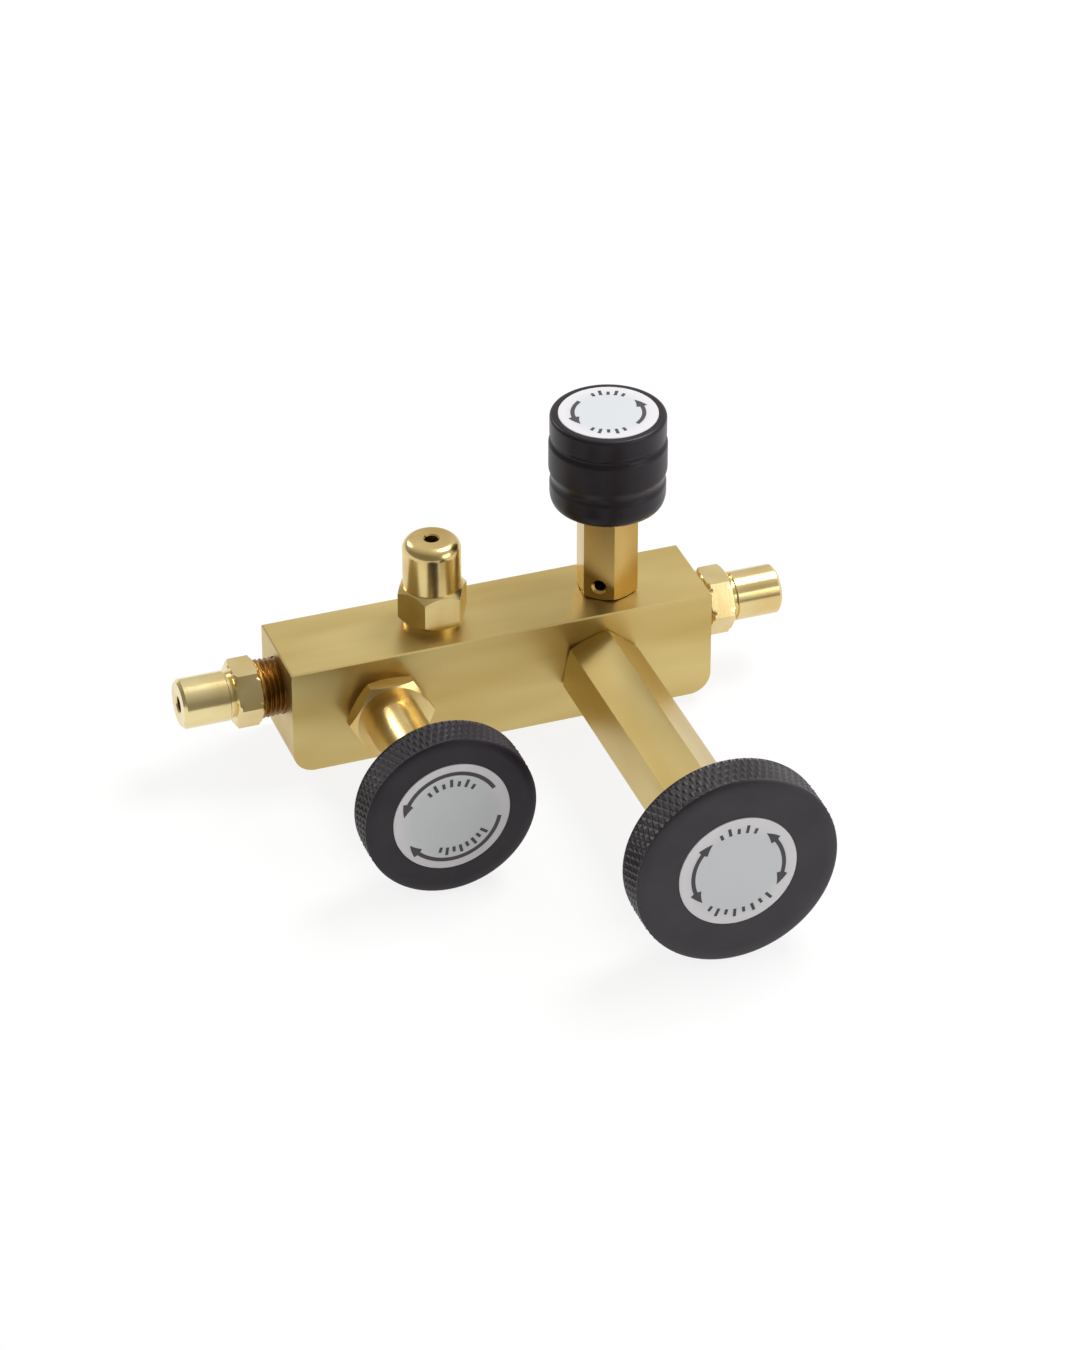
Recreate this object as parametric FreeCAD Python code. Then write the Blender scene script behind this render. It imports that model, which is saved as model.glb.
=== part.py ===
import FreeCAD, Part
import math
import os

# Pressure test manifold: a brass bar with a supply port and an outlet port on its ends, a gauge
# port and a vent valve on top, and an isolation valve and a fine-adjust cylinder on its front.
# Origin at the centre of the bar's underside, X to the outlet port, front at -Y, Z up.
# Lengths are millimetres. Each fitting is made upright about Z, with height 0 at the face of the
# bar that it is screwed into, and is then carried to its place.

os.makedirs("parts", exist_ok=True)
Vector = FreeCAD.Vector

# Bar
bar_length = 127.0
bar_width = 28.6
bar_height = 33.3
bar_corner_radius = 6.35
bar_edge_break = 0.4

# Clearances
thread_clearance = 0.05
running_clearance = 0.05
ring_clearance = 0.04
seating_gap = 0.02
hole_allowance = 0.5
tool_overrun = 1.0
match_tolerance = 0.001

# Air passages in the bar
passage_radius = 2.0
gallery_radius = 2.4
gallery_setback = 2.4
gallery_height = 18.4
inlet_passage_setback = -4.4
inlet_passage_height = 19.0

# End ports, the same adapter turned into each end
port_axis_height = 21.4
port_thread_radius = 8.55
port_thread_length = 15.0
port_thread_taper = 0.03125
supply_port_engagement = 8.8
outlet_port_engagement = 12.9
port_hex_across_flats = 17.46
port_hex_length = 8.0
port_hex_turn = 30.0
port_stub_radius = 7.3
port_stub_length = 15.2
port_stub_chamfer = 0.9
port_relief_length = 1.4
port_relief_radius = 6.6
port_bore_radius = 2.4

# Turned-off corners of every hexagon
hex_corner_angle = 30.0
hex_face_share = 0.96

# Seal rings under the screwed-in fittings
mouth_ring_section = 0.9

# Gauge port
gauge_port_inset = 46.8
gauge_port_x = gauge_port_inset - bar_length / 2
gauge_hex_across_flats = 18.0
gauge_neck_radius = 8.5
gauge_neck_length = 1.6
gauge_hex_length = 11.0
gauge_hex_corner_angle = 45.0
gauge_body_radius = 8.4
gauge_body_length = 14.9
gauge_nose_radius = 3.3
gauge_mouth_countersink = 0.4
gauge_thread_radius = 6.6
gauge_thread_length = 7.4

# Isolation valve
isolation_inset = 27.7
isolation_x = isolation_inset - bar_length / 2
isolation_height = bar_height / 2
isolation_thread_radius = 7.0
isolation_thread_length = 7.0
isolation_neck_radius = 9.0
isolation_neck_length = 2.0
isolation_hex_across_flats = 22.2
isolation_hex_length = 5.2
isolation_body_radius = 8.2
isolation_body_length = 25.0
isolation_body_chamfer = 1.0
isolation_chamber_radius = 5.5
isolation_chamber_depth = 12.3
isolation_seat_radius = 1.6
isolation_collar_height = -4.0
isolation_screw_length = 15.5
isolation_knob_radius = 25.2
isolation_knob_thickness = 10.7
isolation_hub_radius = 11.0
isolation_hub_length = 5.2
isolation_hub_clearance = 9.5
isolation_label_radius = 17.0
isolation_flutes = 80

# Vent valve
vent_inset = 27.0
vent_x = bar_length / 2 - vent_inset
vent_thread_radius = 6.3
vent_thread_length = 7.4
vent_hex_across_flats = 15.88
vent_hex_length = 28.6
vent_hex_turn = 22.6
vent_seat_radius = 1.3
vent_outlet_radius = 1.6
vent_outlet_countersink = 0.7
vent_outlet_height = 4.3
vent_outlet_direction = -127.4
vent_collar_height = 6.0
vent_screw_length = 11.0
vent_knob_clearance = 0.8
vent_knob_radius = 17.0
vent_knob_length = 28.6
vent_knob_upper_round = 1.1
vent_cap_radius = 16.7
vent_cap_length = 7.7
vent_cap_groove_width = 3.2
vent_cap_groove_depth = 0.7
vent_waist_height = 9.0
vent_waist_width = 4.6
vent_waist_depth = 0.85
vent_foot_radius = 16.7
vent_foot_length = 3.9
vent_foot_inset = 1.6
vent_foot_share = 0.36
vent_screw_hole_height = 5.0
vent_label_radius = 14.3

# Screw, plug and soft seat of a valve
valve_travel = 3.81
spindle_thread_radius = 3.9
spindle_rod_radius = 3.0
spindle_neck_radius = 1.7
spindle_head_radius = 2.6
spindle_head_length = 1.4
plug_radius = 4.2
plug_length = 6.4
plug_lip_length = 1.2
socket_play = 0.1
plug_flat_distance = 3.5
seat_disc_radius = 2.9
seat_disc_length = 1.6
seat_disc_inset = 1.0
stem_ring_section = 0.8
stem_backup_length = 1.0
collar_land = 0.8
spindle_grip = 9.0

# Fine-adjust cylinder
adjuster_inset = 34.6
adjuster_x = bar_length / 2 - adjuster_inset
adjuster_height = bar_height / 2
adjuster_thread_radius = 7.5
adjuster_thread_length = 7.0
barrel_across_flats = 21.0
barrel_turn = 19.5
barrel_length = 80.0
barrel_bore_radius = 6.35
barrel_floor = 4.0
piston_rest = 10.0
piston_length = 17.0
piston_ring_section = 1.3
piston_backup_length = 1.2
piston_land = 1.6
piston_socket_depth = 4.8
bush_thread_radius = 8.0
bush_thread_length = 12.0
bush_across_flats = 19.05
bush_head_length = 4.0
screw_thread_radius = 4.7
screw_rod_radius = 4.0
screw_neck_radius = 2.6
screw_head_radius = 3.7
screw_head_length = 2.4
screw_neck_length = 3.0
retaining_pin_radius = 0.8
retaining_pin_length = 8.4
adjuster_knob_radius = 29.6
adjuster_knob_thickness = 11.6
adjuster_hub_radius = 12.0
adjuster_hub_length = 5.2
adjuster_hub_clearance = 7.6
adjuster_label_radius = 17.2
adjuster_flutes = 84

# Knobs, labels and set screws
knob_edge_chamfer = 0.4
flute_depth = 0.5
flute_undercut = 0.1
spindle_flat_depth = 0.6
label_thickness = 0.5
label_recess = 0.3
label_clearance = 0.1
set_screw_radius = 2.0
set_screw_length = 4.0
set_screw_key = 2.0
set_screw_key_depth = 2.0


def write_part(name, shape):
    """Save one node of the assembly and print its volume."""
    if not shape.isValid():
        raise ValueError(name + " is not a valid solid")
    print(name, len(shape.Solids), round(shape.Volume, 2))
    shape.exportStep("parts/" + name + ".step")


def turned(outline):
    """Revolve an outline of (height, radius) pairs about Z."""
    points = [Vector(radius, 0, height) for height, radius in outline]
    wire = Part.makePolygon(points + [points[0]])
    return Part.Face(wire).revolve(Vector(0, 0, 0), Vector(0, 0, 1), 360)


def rod(radius, low, high):
    """A plain cylinder about Z between two heights."""
    return Part.makeCylinder(radius, high - low, Vector(0, 0, low), Vector(0, 0, 1))


def tube(outer, inner, low, high):
    """A plain ring about Z between two heights."""
    return rod(outer, low, high).cut(rod(inner, low, high))


def o_ring(section, middle_radius, height):
    """An O-ring of round section about Z."""
    return Part.makeTorus(middle_radius, section, Vector(0, 0, height), Vector(0, 0, 1))


def prism(across_flats, low, high, turn=0.0):
    """A hexagonal bar about Z. At turn 0 its corners are on the X axis and two flats face Y."""
    corner = across_flats / math.sqrt(3)
    angles = [math.radians(turn + 60 * step) for step in range(7)]
    points = [Vector(corner * math.cos(angle), corner * math.sin(angle), low) for angle in angles]
    return Part.Face(Part.makePolygon(points)).extrude(Vector(0, 0, high - low))


def hexagon(across_flats, low, high, turn=0.0, corner_angle=hex_corner_angle):
    """A hexagonal bar whose corners are turned off at both ends."""
    corner = across_flats / math.sqrt(3) + match_tolerance
    flat = hex_face_share * across_flats / 2
    drop = (corner - flat) * math.tan(math.radians(corner_angle))
    ends = turned([(low, 0), (low, flat), (low + drop, corner),
                   (high - drop, corner), (high, flat), (high, 0)])
    return prism(across_flats, low, high, turn).common(ends)


def sideways(shape, height):
    """Lay a shape made about Z along -Y, at a height."""
    turn = FreeCAD.Rotation(Vector(1, 0, 0), 90)
    return shape.transformed(FreeCAD.Placement(Vector(0, 0, height), turn).toMatrix())


def on_front(shape, x, height):
    """Carry a shape to the bar's front face, with its Z axis forward and its Y axis up."""
    return sideways(shape, height).translated(Vector(x, -bar_width / 2, 0))


def on_top(shape, x):
    """Carry a shape to the bar's top face."""
    return shape.translated(Vector(x, 0, bar_height))


def on_top_turned(shape, x):
    """Carry a shape to the bar's top face, turned half round so that its -Y side is behind."""
    return on_top(shape.rotated(Vector(0, 0, 0), Vector(0, 0, 1), 180), x)


def on_end(shape, side):
    """Carry a shape to an end of the bar: side is -1 for the left end and 1 for the right."""
    turn = FreeCAD.Rotation(Vector(0, 1, 0), 90 * side)
    place = FreeCAD.Placement(Vector(side * bar_length / 2, 0, port_axis_height), turn)
    return shape.transformed(place.toMatrix())


def threaded_mouth(thread_radius, thread_length):
    """The hole for a screwed-in fitting, with the step at its mouth for the seal ring."""
    step = 2 * (mouth_ring_section + ring_clearance)
    hole = rod(thread_radius + thread_clearance, -thread_length - hole_allowance, tool_overrun)
    return hole.fuse(rod(thread_radius + step, -step, tool_overrun))


def mouth_ring(thread_radius):
    """The seal ring in the step round a fitting's thread."""
    reach = mouth_ring_section + ring_clearance
    return o_ring(mouth_ring_section, thread_radius + reach, -reach)


def port_hole(engagement):
    """The tapered hole for an end port."""
    mouth = port_thread_radius + thread_clearance
    mouth -= (port_thread_length - engagement) * port_thread_taper
    depth = engagement + hole_allowance
    floor = mouth - depth * port_thread_taper
    return turned([(-depth, 0), (-depth, floor), (0, mouth), (tool_overrun, mouth),
                   (tool_overrun, 0)])


def along_bar(radius, setback, height, start, end):
    """A straight hole along X inside the bar."""
    return Part.makeCylinder(radius, end - start, Vector(start, setback, height), Vector(1, 0, 0))


def manifold_block():
    """The bar with its rounded lower ends, threaded holes and air passages."""
    half = bar_length / 2
    bar = Part.makeBox(bar_length, bar_width, bar_height, Vector(-half, -bar_width / 2, 0))
    lower = [edge for edge in bar.Edges
             if edge.CenterOfMass.z < match_tolerance
             and abs(edge.CenterOfMass.y) < match_tolerance]
    bar = bar.makeFillet(bar_corner_radius, lower)
    upper = [edge for edge in bar.Edges if edge.CenterOfMass.z > bar_height - match_tolerance]
    bar = bar.makeChamfer(bar_edge_break, upper)

    gallery_depth = bar_height - gallery_height
    gallery_reach = bar_width / 2 + gallery_setback
    isolation_hole = threaded_mouth(isolation_thread_radius, isolation_thread_length)
    isolation_hole = isolation_hole.multiFuse([
        rod(isolation_chamber_radius, -isolation_chamber_depth, 0),
        rod(isolation_seat_radius, -gallery_reach, 0)])
    adjuster_hole = threaded_mouth(adjuster_thread_radius, adjuster_thread_length)
    adjuster_hole = adjuster_hole.fuse(rod(passage_radius, -gallery_reach, 0))
    vent_hole = threaded_mouth(vent_thread_radius, vent_thread_length)
    vent_hole = vent_hole.fuse(rod(vent_seat_radius, -gallery_depth, 0))
    gauge_hole = threaded_mouth(gauge_thread_radius, gauge_thread_length)
    gauge_hole = gauge_hole.fuse(rod(passage_radius, -gallery_depth, 0))
    return bar.cut([
        on_end(port_hole(supply_port_engagement), -1),
        on_end(port_hole(outlet_port_engagement), 1),
        along_bar(passage_radius, inlet_passage_setback, inlet_passage_height,
                  supply_port_engagement - half, isolation_x),
        along_bar(gallery_radius, gallery_setback, gallery_height,
                  isolation_x, half - outlet_port_engagement),
        on_front(isolation_hole, isolation_x, isolation_height),
        on_front(adjuster_hole, adjuster_x, adjuster_height),
        on_top(vent_hole, vent_x),
        on_top(gauge_hole, gauge_port_x)])


def end_port(engagement):
    """A hexagonal adapter with a tapered thread for the bar and a plain male stub."""
    low = -engagement
    hex_low = low + port_thread_length
    hex_high = hex_low + port_hex_length
    relief_high = hex_high + port_relief_length
    top = hex_high + port_stub_length
    tip = port_thread_radius - port_thread_length * port_thread_taper
    core = turned([
        (low, 0), (low, tip), (hex_low, port_thread_radius), (hex_low, port_relief_radius),
        (relief_high, port_relief_radius), (relief_high, port_stub_radius),
        (top - port_stub_chamfer, port_stub_radius), (top, port_stub_radius - port_stub_chamfer),
        (top, 0)])
    body = core.fuse(hexagon(port_hex_across_flats, hex_low, hex_high, port_hex_turn))
    return body.cut(rod(port_bore_radius, low - tool_overrun, top + tool_overrun))


def gauge_port():
    """The upright gauge connection: neck, hexagon and a round spigot with a rounded nose."""
    hex_high = gauge_neck_length + gauge_hex_length
    top = hex_high + gauge_body_length
    core = turned([
        (-gauge_thread_length, 0), (-gauge_thread_length, gauge_thread_radius),
        (0, gauge_thread_radius), (0, gauge_neck_radius), (gauge_neck_length, gauge_neck_radius),
        (gauge_neck_length, gauge_body_radius), (top, gauge_body_radius), (top, 0)])
    rim = [edge for edge in core.Edges if edge.BoundBox.ZMin > top - match_tolerance]
    core = core.makeFillet(gauge_nose_radius, rim)
    body = core.fuse(hexagon(gauge_hex_across_flats, gauge_neck_length, hex_high,
                             corner_angle=gauge_hex_corner_angle))
    low = -gauge_thread_length - tool_overrun
    mouth = passage_radius + gauge_mouth_countersink
    return body.cut(turned([
        (low, 0), (low, passage_radius), (top - gauge_mouth_countersink, passage_radius),
        (top, mouth), (top + tool_overrun, mouth), (top + tool_overrun, 0)]))


class Valve:
    """Heights along the axis of one valve while its plug is on its seat."""

    def __init__(self, seat, collar, screw_length, knob_back):
        self.disc_low = seat + seating_gap
        self.disc_high = self.disc_low + seat_disc_length
        self.plug_low = self.disc_high - seat_disc_inset
        self.plug_high = self.plug_low + plug_length
        self.head_high = self.plug_high - plug_lip_length - socket_play
        self.head_low = self.head_high - spindle_head_length
        self.collar_low = collar
        self.groove_low = collar + collar_land
        self.ring = self.groove_low + ring_clearance + stem_ring_section
        self.backup_low = self.ring + stem_ring_section + ring_clearance
        self.backup_high = self.backup_low + stem_backup_length
        self.groove_high = self.backup_high + ring_clearance
        self.collar_high = self.groove_high + collar_land
        self.open_stop = self.collar_high + valve_travel + running_clearance
        self.screw_high = self.collar_high + screw_length
        self.knob_back = knob_back
        self.spindle_top = knob_back + spindle_grip


isolation_bonnet_top = isolation_neck_length + isolation_hex_length + isolation_body_length
isolation_hub_back = isolation_bonnet_top + isolation_hub_clearance
isolation_knob_front = isolation_hub_back + isolation_hub_length + isolation_knob_thickness
vent_seat = -vent_thread_length - hole_allowance
vent_knob_back = vent_hex_length + vent_knob_clearance
vent_knob_front = vent_knob_back + vent_knob_length
isolation = Valve(-isolation_chamber_depth, isolation_collar_height, isolation_screw_length,
                  isolation_hub_back)
vent = Valve(vent_seat, vent_collar_height, vent_screw_length, vent_knob_back)
guide_radius = plug_radius + running_clearance
stem_groove_radius = guide_radius - 2 * (stem_ring_section + ring_clearance)


def spindle_bore(valve, low, high):
    """The stepped bore of a bonnet: plug guide, open stop, screw thread and stem guide."""
    screw_top = valve.screw_high + valve_travel + hole_allowance
    screw_bore = spindle_thread_radius + thread_clearance
    stem_bore = spindle_rod_radius + running_clearance
    return turned([
        (low, 0), (low, guide_radius), (valve.open_stop, guide_radius),
        (valve.open_stop, screw_bore), (screw_top, screw_bore), (screw_top, stem_bore),
        (high, stem_bore), (high, 0)])


def isolation_bonnet():
    """Spigot, neck, spanner hexagon and the long round body that guides the spindle."""
    hex_high = isolation_neck_length + isolation_hex_length
    top = hex_high + isolation_body_length
    core = turned([
        (-isolation_thread_length, 0), (-isolation_thread_length, isolation_thread_radius),
        (0, isolation_thread_radius), (0, isolation_neck_radius),
        (isolation_neck_length, isolation_neck_radius),
        (isolation_neck_length, isolation_body_radius),
        (top - isolation_body_chamfer, isolation_body_radius),
        (top, isolation_body_radius - isolation_body_chamfer), (top, 0)])
    body = core.fuse(hexagon(isolation_hex_across_flats, isolation_neck_length, hex_high))
    return body.cut(spindle_bore(isolation, -isolation_thread_length - tool_overrun,
                                 top + tool_overrun))


def vent_bonnet():
    """A tall hexagonal bonnet with the vent outlet drilled in one flat."""
    core = rod(vent_thread_radius, -vent_thread_length, tool_overrun)
    body = core.fuse(hexagon(vent_hex_across_flats, 0, vent_hex_length, vent_hex_turn))
    body = body.cut(spindle_bore(vent, -vent_thread_length - tool_overrun,
                                 vent_hex_length + tool_overrun))
    flat = vent_hex_across_flats / 2
    wide = vent_outlet_radius + vent_outlet_countersink
    outlet = turned([
        (0, 0), (0, vent_outlet_radius), (flat - vent_outlet_countersink, vent_outlet_radius),
        (flat, wide), (flat + tool_overrun, wide), (flat + tool_overrun, 0)])
    outlet = sideways(outlet, vent_outlet_height)
    return body.cut(outlet.rotated(Vector(0, 0, 0), Vector(0, 0, 1), vent_outlet_direction + 90))


def flatted(shape, radius, low, high):
    """Mill the flat for a set screw on the -Y side of a rod between two heights."""
    flat = radius - spindle_flat_depth
    corner = Vector(-radius, -radius - tool_overrun, low)
    depth = radius + tool_overrun - flat
    return shape.cut(Part.makeBox(2 * radius, depth, high - low, corner))


def spindle(valve):
    """A valve screw: button head for the plug, ringed collar, thread and a stem for the knob."""
    shape = turned([
        (valve.head_low, 0), (valve.head_low, spindle_head_radius),
        (valve.head_high, spindle_head_radius), (valve.head_high, spindle_neck_radius),
        (valve.collar_low, spindle_neck_radius), (valve.collar_low, plug_radius),
        (valve.groove_low, plug_radius), (valve.groove_low, stem_groove_radius),
        (valve.groove_high, stem_groove_radius), (valve.groove_high, plug_radius),
        (valve.collar_high, plug_radius), (valve.collar_high, spindle_thread_radius),
        (valve.screw_high, spindle_thread_radius), (valve.screw_high, spindle_rod_radius),
        (valve.spindle_top, spindle_rod_radius), (valve.spindle_top, 0)])
    return flatted(shape, spindle_rod_radius, valve.knob_back, valve.spindle_top)


def stem_ring(valve):
    """The O-ring in a spindle's collar."""
    return o_ring(stem_ring_section, guide_radius - ring_clearance - stem_ring_section, valve.ring)


def stem_backup(valve):
    """The square backup ring beside a spindle's O-ring."""
    outer = guide_radius - ring_clearance
    return tube(outer, stem_groove_radius + ring_clearance, valve.backup_low, valve.backup_high)


def plug(valve):
    """A swivelling plug: a pocket for the soft seat below, a socket for the spindle above."""
    socket = spindle_head_radius + socket_play
    lip = spindle_neck_radius + socket_play
    shape = rod(plug_radius, valve.plug_low, valve.plug_high)
    shape = shape.cut([
        rod(seat_disc_radius, valve.plug_low - tool_overrun, valve.disc_high),
        rod(socket, valve.head_low - socket_play, valve.head_high + socket_play),
        rod(lip, valve.head_high, valve.plug_high + tool_overrun)])
    return shape.common(three_flats(plug_flat_distance, valve.plug_low, valve.plug_high))


def three_flats(distance, low, high):
    """A triangular bar whose flats let air pass along a plug."""
    corners = [Vector(2 * distance * math.cos(math.radians(120 * step + 90)),
                      2 * distance * math.sin(math.radians(120 * step + 90)), low)
               for step in range(4)]
    return Part.Face(Part.makePolygon(corners)).extrude(Vector(0, 0, high - low))


def seat_disc(valve):
    """The soft seat pressed into the plug's pocket."""
    return rod(seat_disc_radius, valve.disc_low, valve.disc_high)


def knurl(radius, flutes, low, high):
    """The ribbed band of a knob's rim: straight V ribs whose floors lie under the core."""
    root = radius - flute_depth - flute_undercut
    step = math.pi / flutes
    points = []
    for index in range(2 * flutes):
        reach = radius if index % 2 == 0 else root
        points.append(Vector(reach * math.cos(index * step), reach * math.sin(index * step), low))
    return Part.Face(Part.makePolygon(points + [points[0]])).extrude(Vector(0, 0, high - low))


def screw_hole(reach, height):
    """The tapped hole for a knob's set screw, from the axis out along -Y."""
    return sideways(rod(set_screw_radius + thread_clearance, 0, reach), height)


def set_screw(stem_radius, height):
    """A socket set screw whose tip stands on the flat of the stem."""
    tip = stem_radius - spindle_flat_depth + seating_gap
    end = tip + set_screw_length
    screw = rod(set_screw_radius, tip, end)
    screw = screw.cut(prism(set_screw_key, end - set_screw_key_depth, end + tool_overrun))
    return sideways(screw, height)


def disc_knob(radius, thickness, front, hub_radius, hub_length, label_radius, flutes, stem_radius):
    """A thin round knob with a ribbed rim, a hub behind it and a label pocket in front."""
    back = front - thickness
    hub_back = back - hub_length
    core_radius = radius - flute_depth
    bevel = core_radius - knob_edge_chamfer
    shape = turned([
        (hub_back, 0), (hub_back, hub_radius), (back, hub_radius), (back, bevel),
        (back + knob_edge_chamfer, core_radius), (front - knob_edge_chamfer, core_radius),
        (front, bevel), (front, 0)])
    shape = shape.fuse(knurl(radius, flutes, back + knob_edge_chamfer, front - knob_edge_chamfer))
    stem_floor = hub_back + spindle_grip + hole_allowance
    return shape.cut([
        rod(stem_radius + running_clearance, hub_back - tool_overrun, stem_floor),
        rod(label_radius + label_clearance, front - label_recess, front + tool_overrun),
        screw_hole(hub_radius + tool_overrun, hub_back + hub_length / 2)])


def vent_knob():
    """A tall round knob: rounded cap, groove, body, shallow waist and a tapered foot."""
    back = vent_knob_back
    top = vent_knob_front
    foot = back + vent_foot_length
    waist = back + vent_waist_height
    waist_half = vent_waist_width / 2
    groove = top - vent_cap_length
    groove_half = vent_cap_groove_width / 2
    shape = turned([
        (back, 0), (back, vent_foot_radius - vent_foot_inset),
        (back + vent_foot_share * vent_foot_length,
         vent_foot_radius - vent_foot_share * vent_foot_inset),
        (foot, vent_foot_radius), (waist - waist_half, vent_foot_radius),
        (waist, vent_knob_radius - vent_waist_depth), (waist + waist_half, vent_knob_radius),
        (groove - groove_half, vent_knob_radius),
        (groove, vent_cap_radius - vent_cap_groove_depth),
        (groove + groove_half, vent_cap_radius), (top, vent_cap_radius), (top, 0)])
    upper = [edge for edge in shape.Edges if edge.BoundBox.ZMin > top - match_tolerance]
    shape = shape.makeFillet(vent_knob_upper_round, upper)
    stem_floor = back + spindle_grip + hole_allowance
    return shape.cut([
        rod(spindle_rod_radius + running_clearance, back - tool_overrun, stem_floor),
        rod(vent_label_radius + label_clearance, top - label_recess, top + tool_overrun),
        screw_hole(vent_knob_radius + tool_overrun, back + vent_screw_hole_height)])


def label(radius, front):
    """A thin round label plate in the pocket of a knob."""
    low = front - label_recess
    return rod(radius, low, low + label_thickness)


piston_groove_radius = barrel_bore_radius - 2 * (piston_ring_section + ring_clearance)
piston_groove_length = 2 * piston_ring_section + piston_backup_length + 3 * ring_clearance
piston_grooves = [piston_rest + piston_land,
                  piston_rest + 2 * piston_land + piston_groove_length]
piston_top = piston_rest + piston_length
screw_head_low = piston_top - piston_socket_depth + socket_play
screw_head_high = screw_head_low + screw_head_length
pin_height = screw_head_high + socket_play + retaining_pin_radius
pin_offset = screw_neck_radius + socket_play + retaining_pin_radius
bush_low = barrel_length - bush_thread_length
adjuster_hub_back = barrel_length + bush_head_length + adjuster_hub_clearance
adjuster_knob_front = adjuster_hub_back + adjuster_hub_length + adjuster_knob_thickness


def adjuster_barrel():
    """The long hexagonal cylinder of the fine adjust, open at its far end for the bush."""
    body = rod(adjuster_thread_radius, -adjuster_thread_length, tool_overrun)
    body = body.fuse(hexagon(barrel_across_flats, 0, barrel_length, barrel_turn))
    bush_hole_radius = bush_thread_radius + thread_clearance
    return body.cut([
        rod(passage_radius, -adjuster_thread_length - tool_overrun, barrel_floor + tool_overrun),
        rod(barrel_bore_radius, barrel_floor, barrel_length),
        rod(bush_hole_radius, bush_low - hole_allowance, barrel_length + tool_overrun)])


def adjuster_bush():
    """The threaded bush that closes the barrel and carries the lead screw."""
    top = barrel_length + bush_head_length
    body = rod(bush_thread_radius, bush_low, barrel_length + tool_overrun)
    body = body.fuse(hexagon(bush_across_flats, barrel_length, top))
    return body.cut(rod(screw_thread_radius + thread_clearance, bush_low - tool_overrun,
                        top + tool_overrun))


def pin_rods(radius, length):
    """Two parallel rods along X, one each side of the lead screw's neck."""
    rods = [Part.makeCylinder(radius, length, Vector(-length / 2, side * pin_offset, pin_height),
                              Vector(1, 0, 0)) for side in (-1, 1)]
    return Part.makeCompound(rods)


def adjuster_piston():
    """The piston: two ring grooves and a socket for the head of the lead screw."""
    shape = rod(barrel_bore_radius - running_clearance, piston_rest, piston_top)
    for low in piston_grooves:
        shape = shape.cut(tube(barrel_bore_radius, piston_groove_radius, low,
                               low + piston_groove_length))
    socket = screw_head_radius + socket_play
    socket_floor = piston_top - piston_socket_depth
    shape = shape.cut(rod(socket, socket_floor, piston_top + tool_overrun))
    return shape.cut(pin_rods(retaining_pin_radius + seating_gap, 2 * barrel_bore_radius))


def piston_rings():
    """The two O-rings of the piston."""
    middle = barrel_bore_radius - ring_clearance - piston_ring_section
    rings = [o_ring(piston_ring_section, middle, low + ring_clearance + piston_ring_section)
             for low in piston_grooves]
    return Part.makeCompound(rings)


def piston_backups():
    """The two backup rings, each on the screw side of its O-ring."""
    rings = []
    for low in piston_grooves:
        start = low + 2 * (ring_clearance + piston_ring_section)
        rings.append(tube(barrel_bore_radius - ring_clearance,
                          piston_groove_radius + ring_clearance,
                          start, start + piston_backup_length))
    return Part.makeCompound(rings)


def adjuster_screw():
    """The lead screw: button head in the piston, thread in the bush and a stem for the knob."""
    neck_high = screw_head_high + screw_neck_length
    top = adjuster_hub_back + spindle_grip
    shape = turned([
        (screw_head_low, 0), (screw_head_low, screw_head_radius),
        (screw_head_high, screw_head_radius), (screw_head_high, screw_neck_radius),
        (neck_high, screw_neck_radius), (neck_high, screw_thread_radius),
        (adjuster_hub_back, screw_thread_radius), (adjuster_hub_back, screw_rod_radius),
        (top, screw_rod_radius), (top, 0)])
    return flatted(shape, screw_rod_radius, adjuster_hub_back, top)


def write_isolation_valve():
    """Write every piece of the isolation valve."""
    pieces = {
        "isolation_bonnet": isolation_bonnet(),
        "isolation_bonnet_ring": mouth_ring(isolation_thread_radius),
        "isolation_spindle": spindle(isolation),
        "isolation_stem_ring": stem_ring(isolation),
        "isolation_backup_ring": stem_backup(isolation),
        "isolation_plug": plug(isolation),
        "isolation_seat_disc": seat_disc(isolation),
        "isolation_knob": disc_knob(
            isolation_knob_radius, isolation_knob_thickness, isolation_knob_front,
            isolation_hub_radius, isolation_hub_length, isolation_label_radius,
            isolation_flutes, spindle_rod_radius),
        "isolation_set_screw": set_screw(
            spindle_rod_radius, isolation_hub_back + isolation_hub_length / 2),
        "isolation_label": label(isolation_label_radius, isolation_knob_front)}
    for name, shape in pieces.items():
        write_part(name, on_front(shape, isolation_x, isolation_height))


def write_vent_valve():
    """Write every piece of the vent valve. Its set screw is at the back."""
    pieces = {
        "vent_spindle": spindle(vent),
        "vent_stem_ring": stem_ring(vent),
        "vent_backup_ring": stem_backup(vent),
        "vent_plug": plug(vent),
        "vent_seat_disc": seat_disc(vent),
        "vent_knob": vent_knob(),
        "vent_set_screw": set_screw(spindle_rod_radius, vent_knob_back + vent_screw_hole_height),
        "vent_label": label(vent_label_radius, vent_knob_front)}
    write_part("vent_bonnet", on_top(vent_bonnet(), vent_x))
    write_part("vent_bonnet_ring", on_top(mouth_ring(vent_thread_radius), vent_x))
    for name, shape in pieces.items():
        write_part(name, on_top_turned(shape, vent_x))


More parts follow.
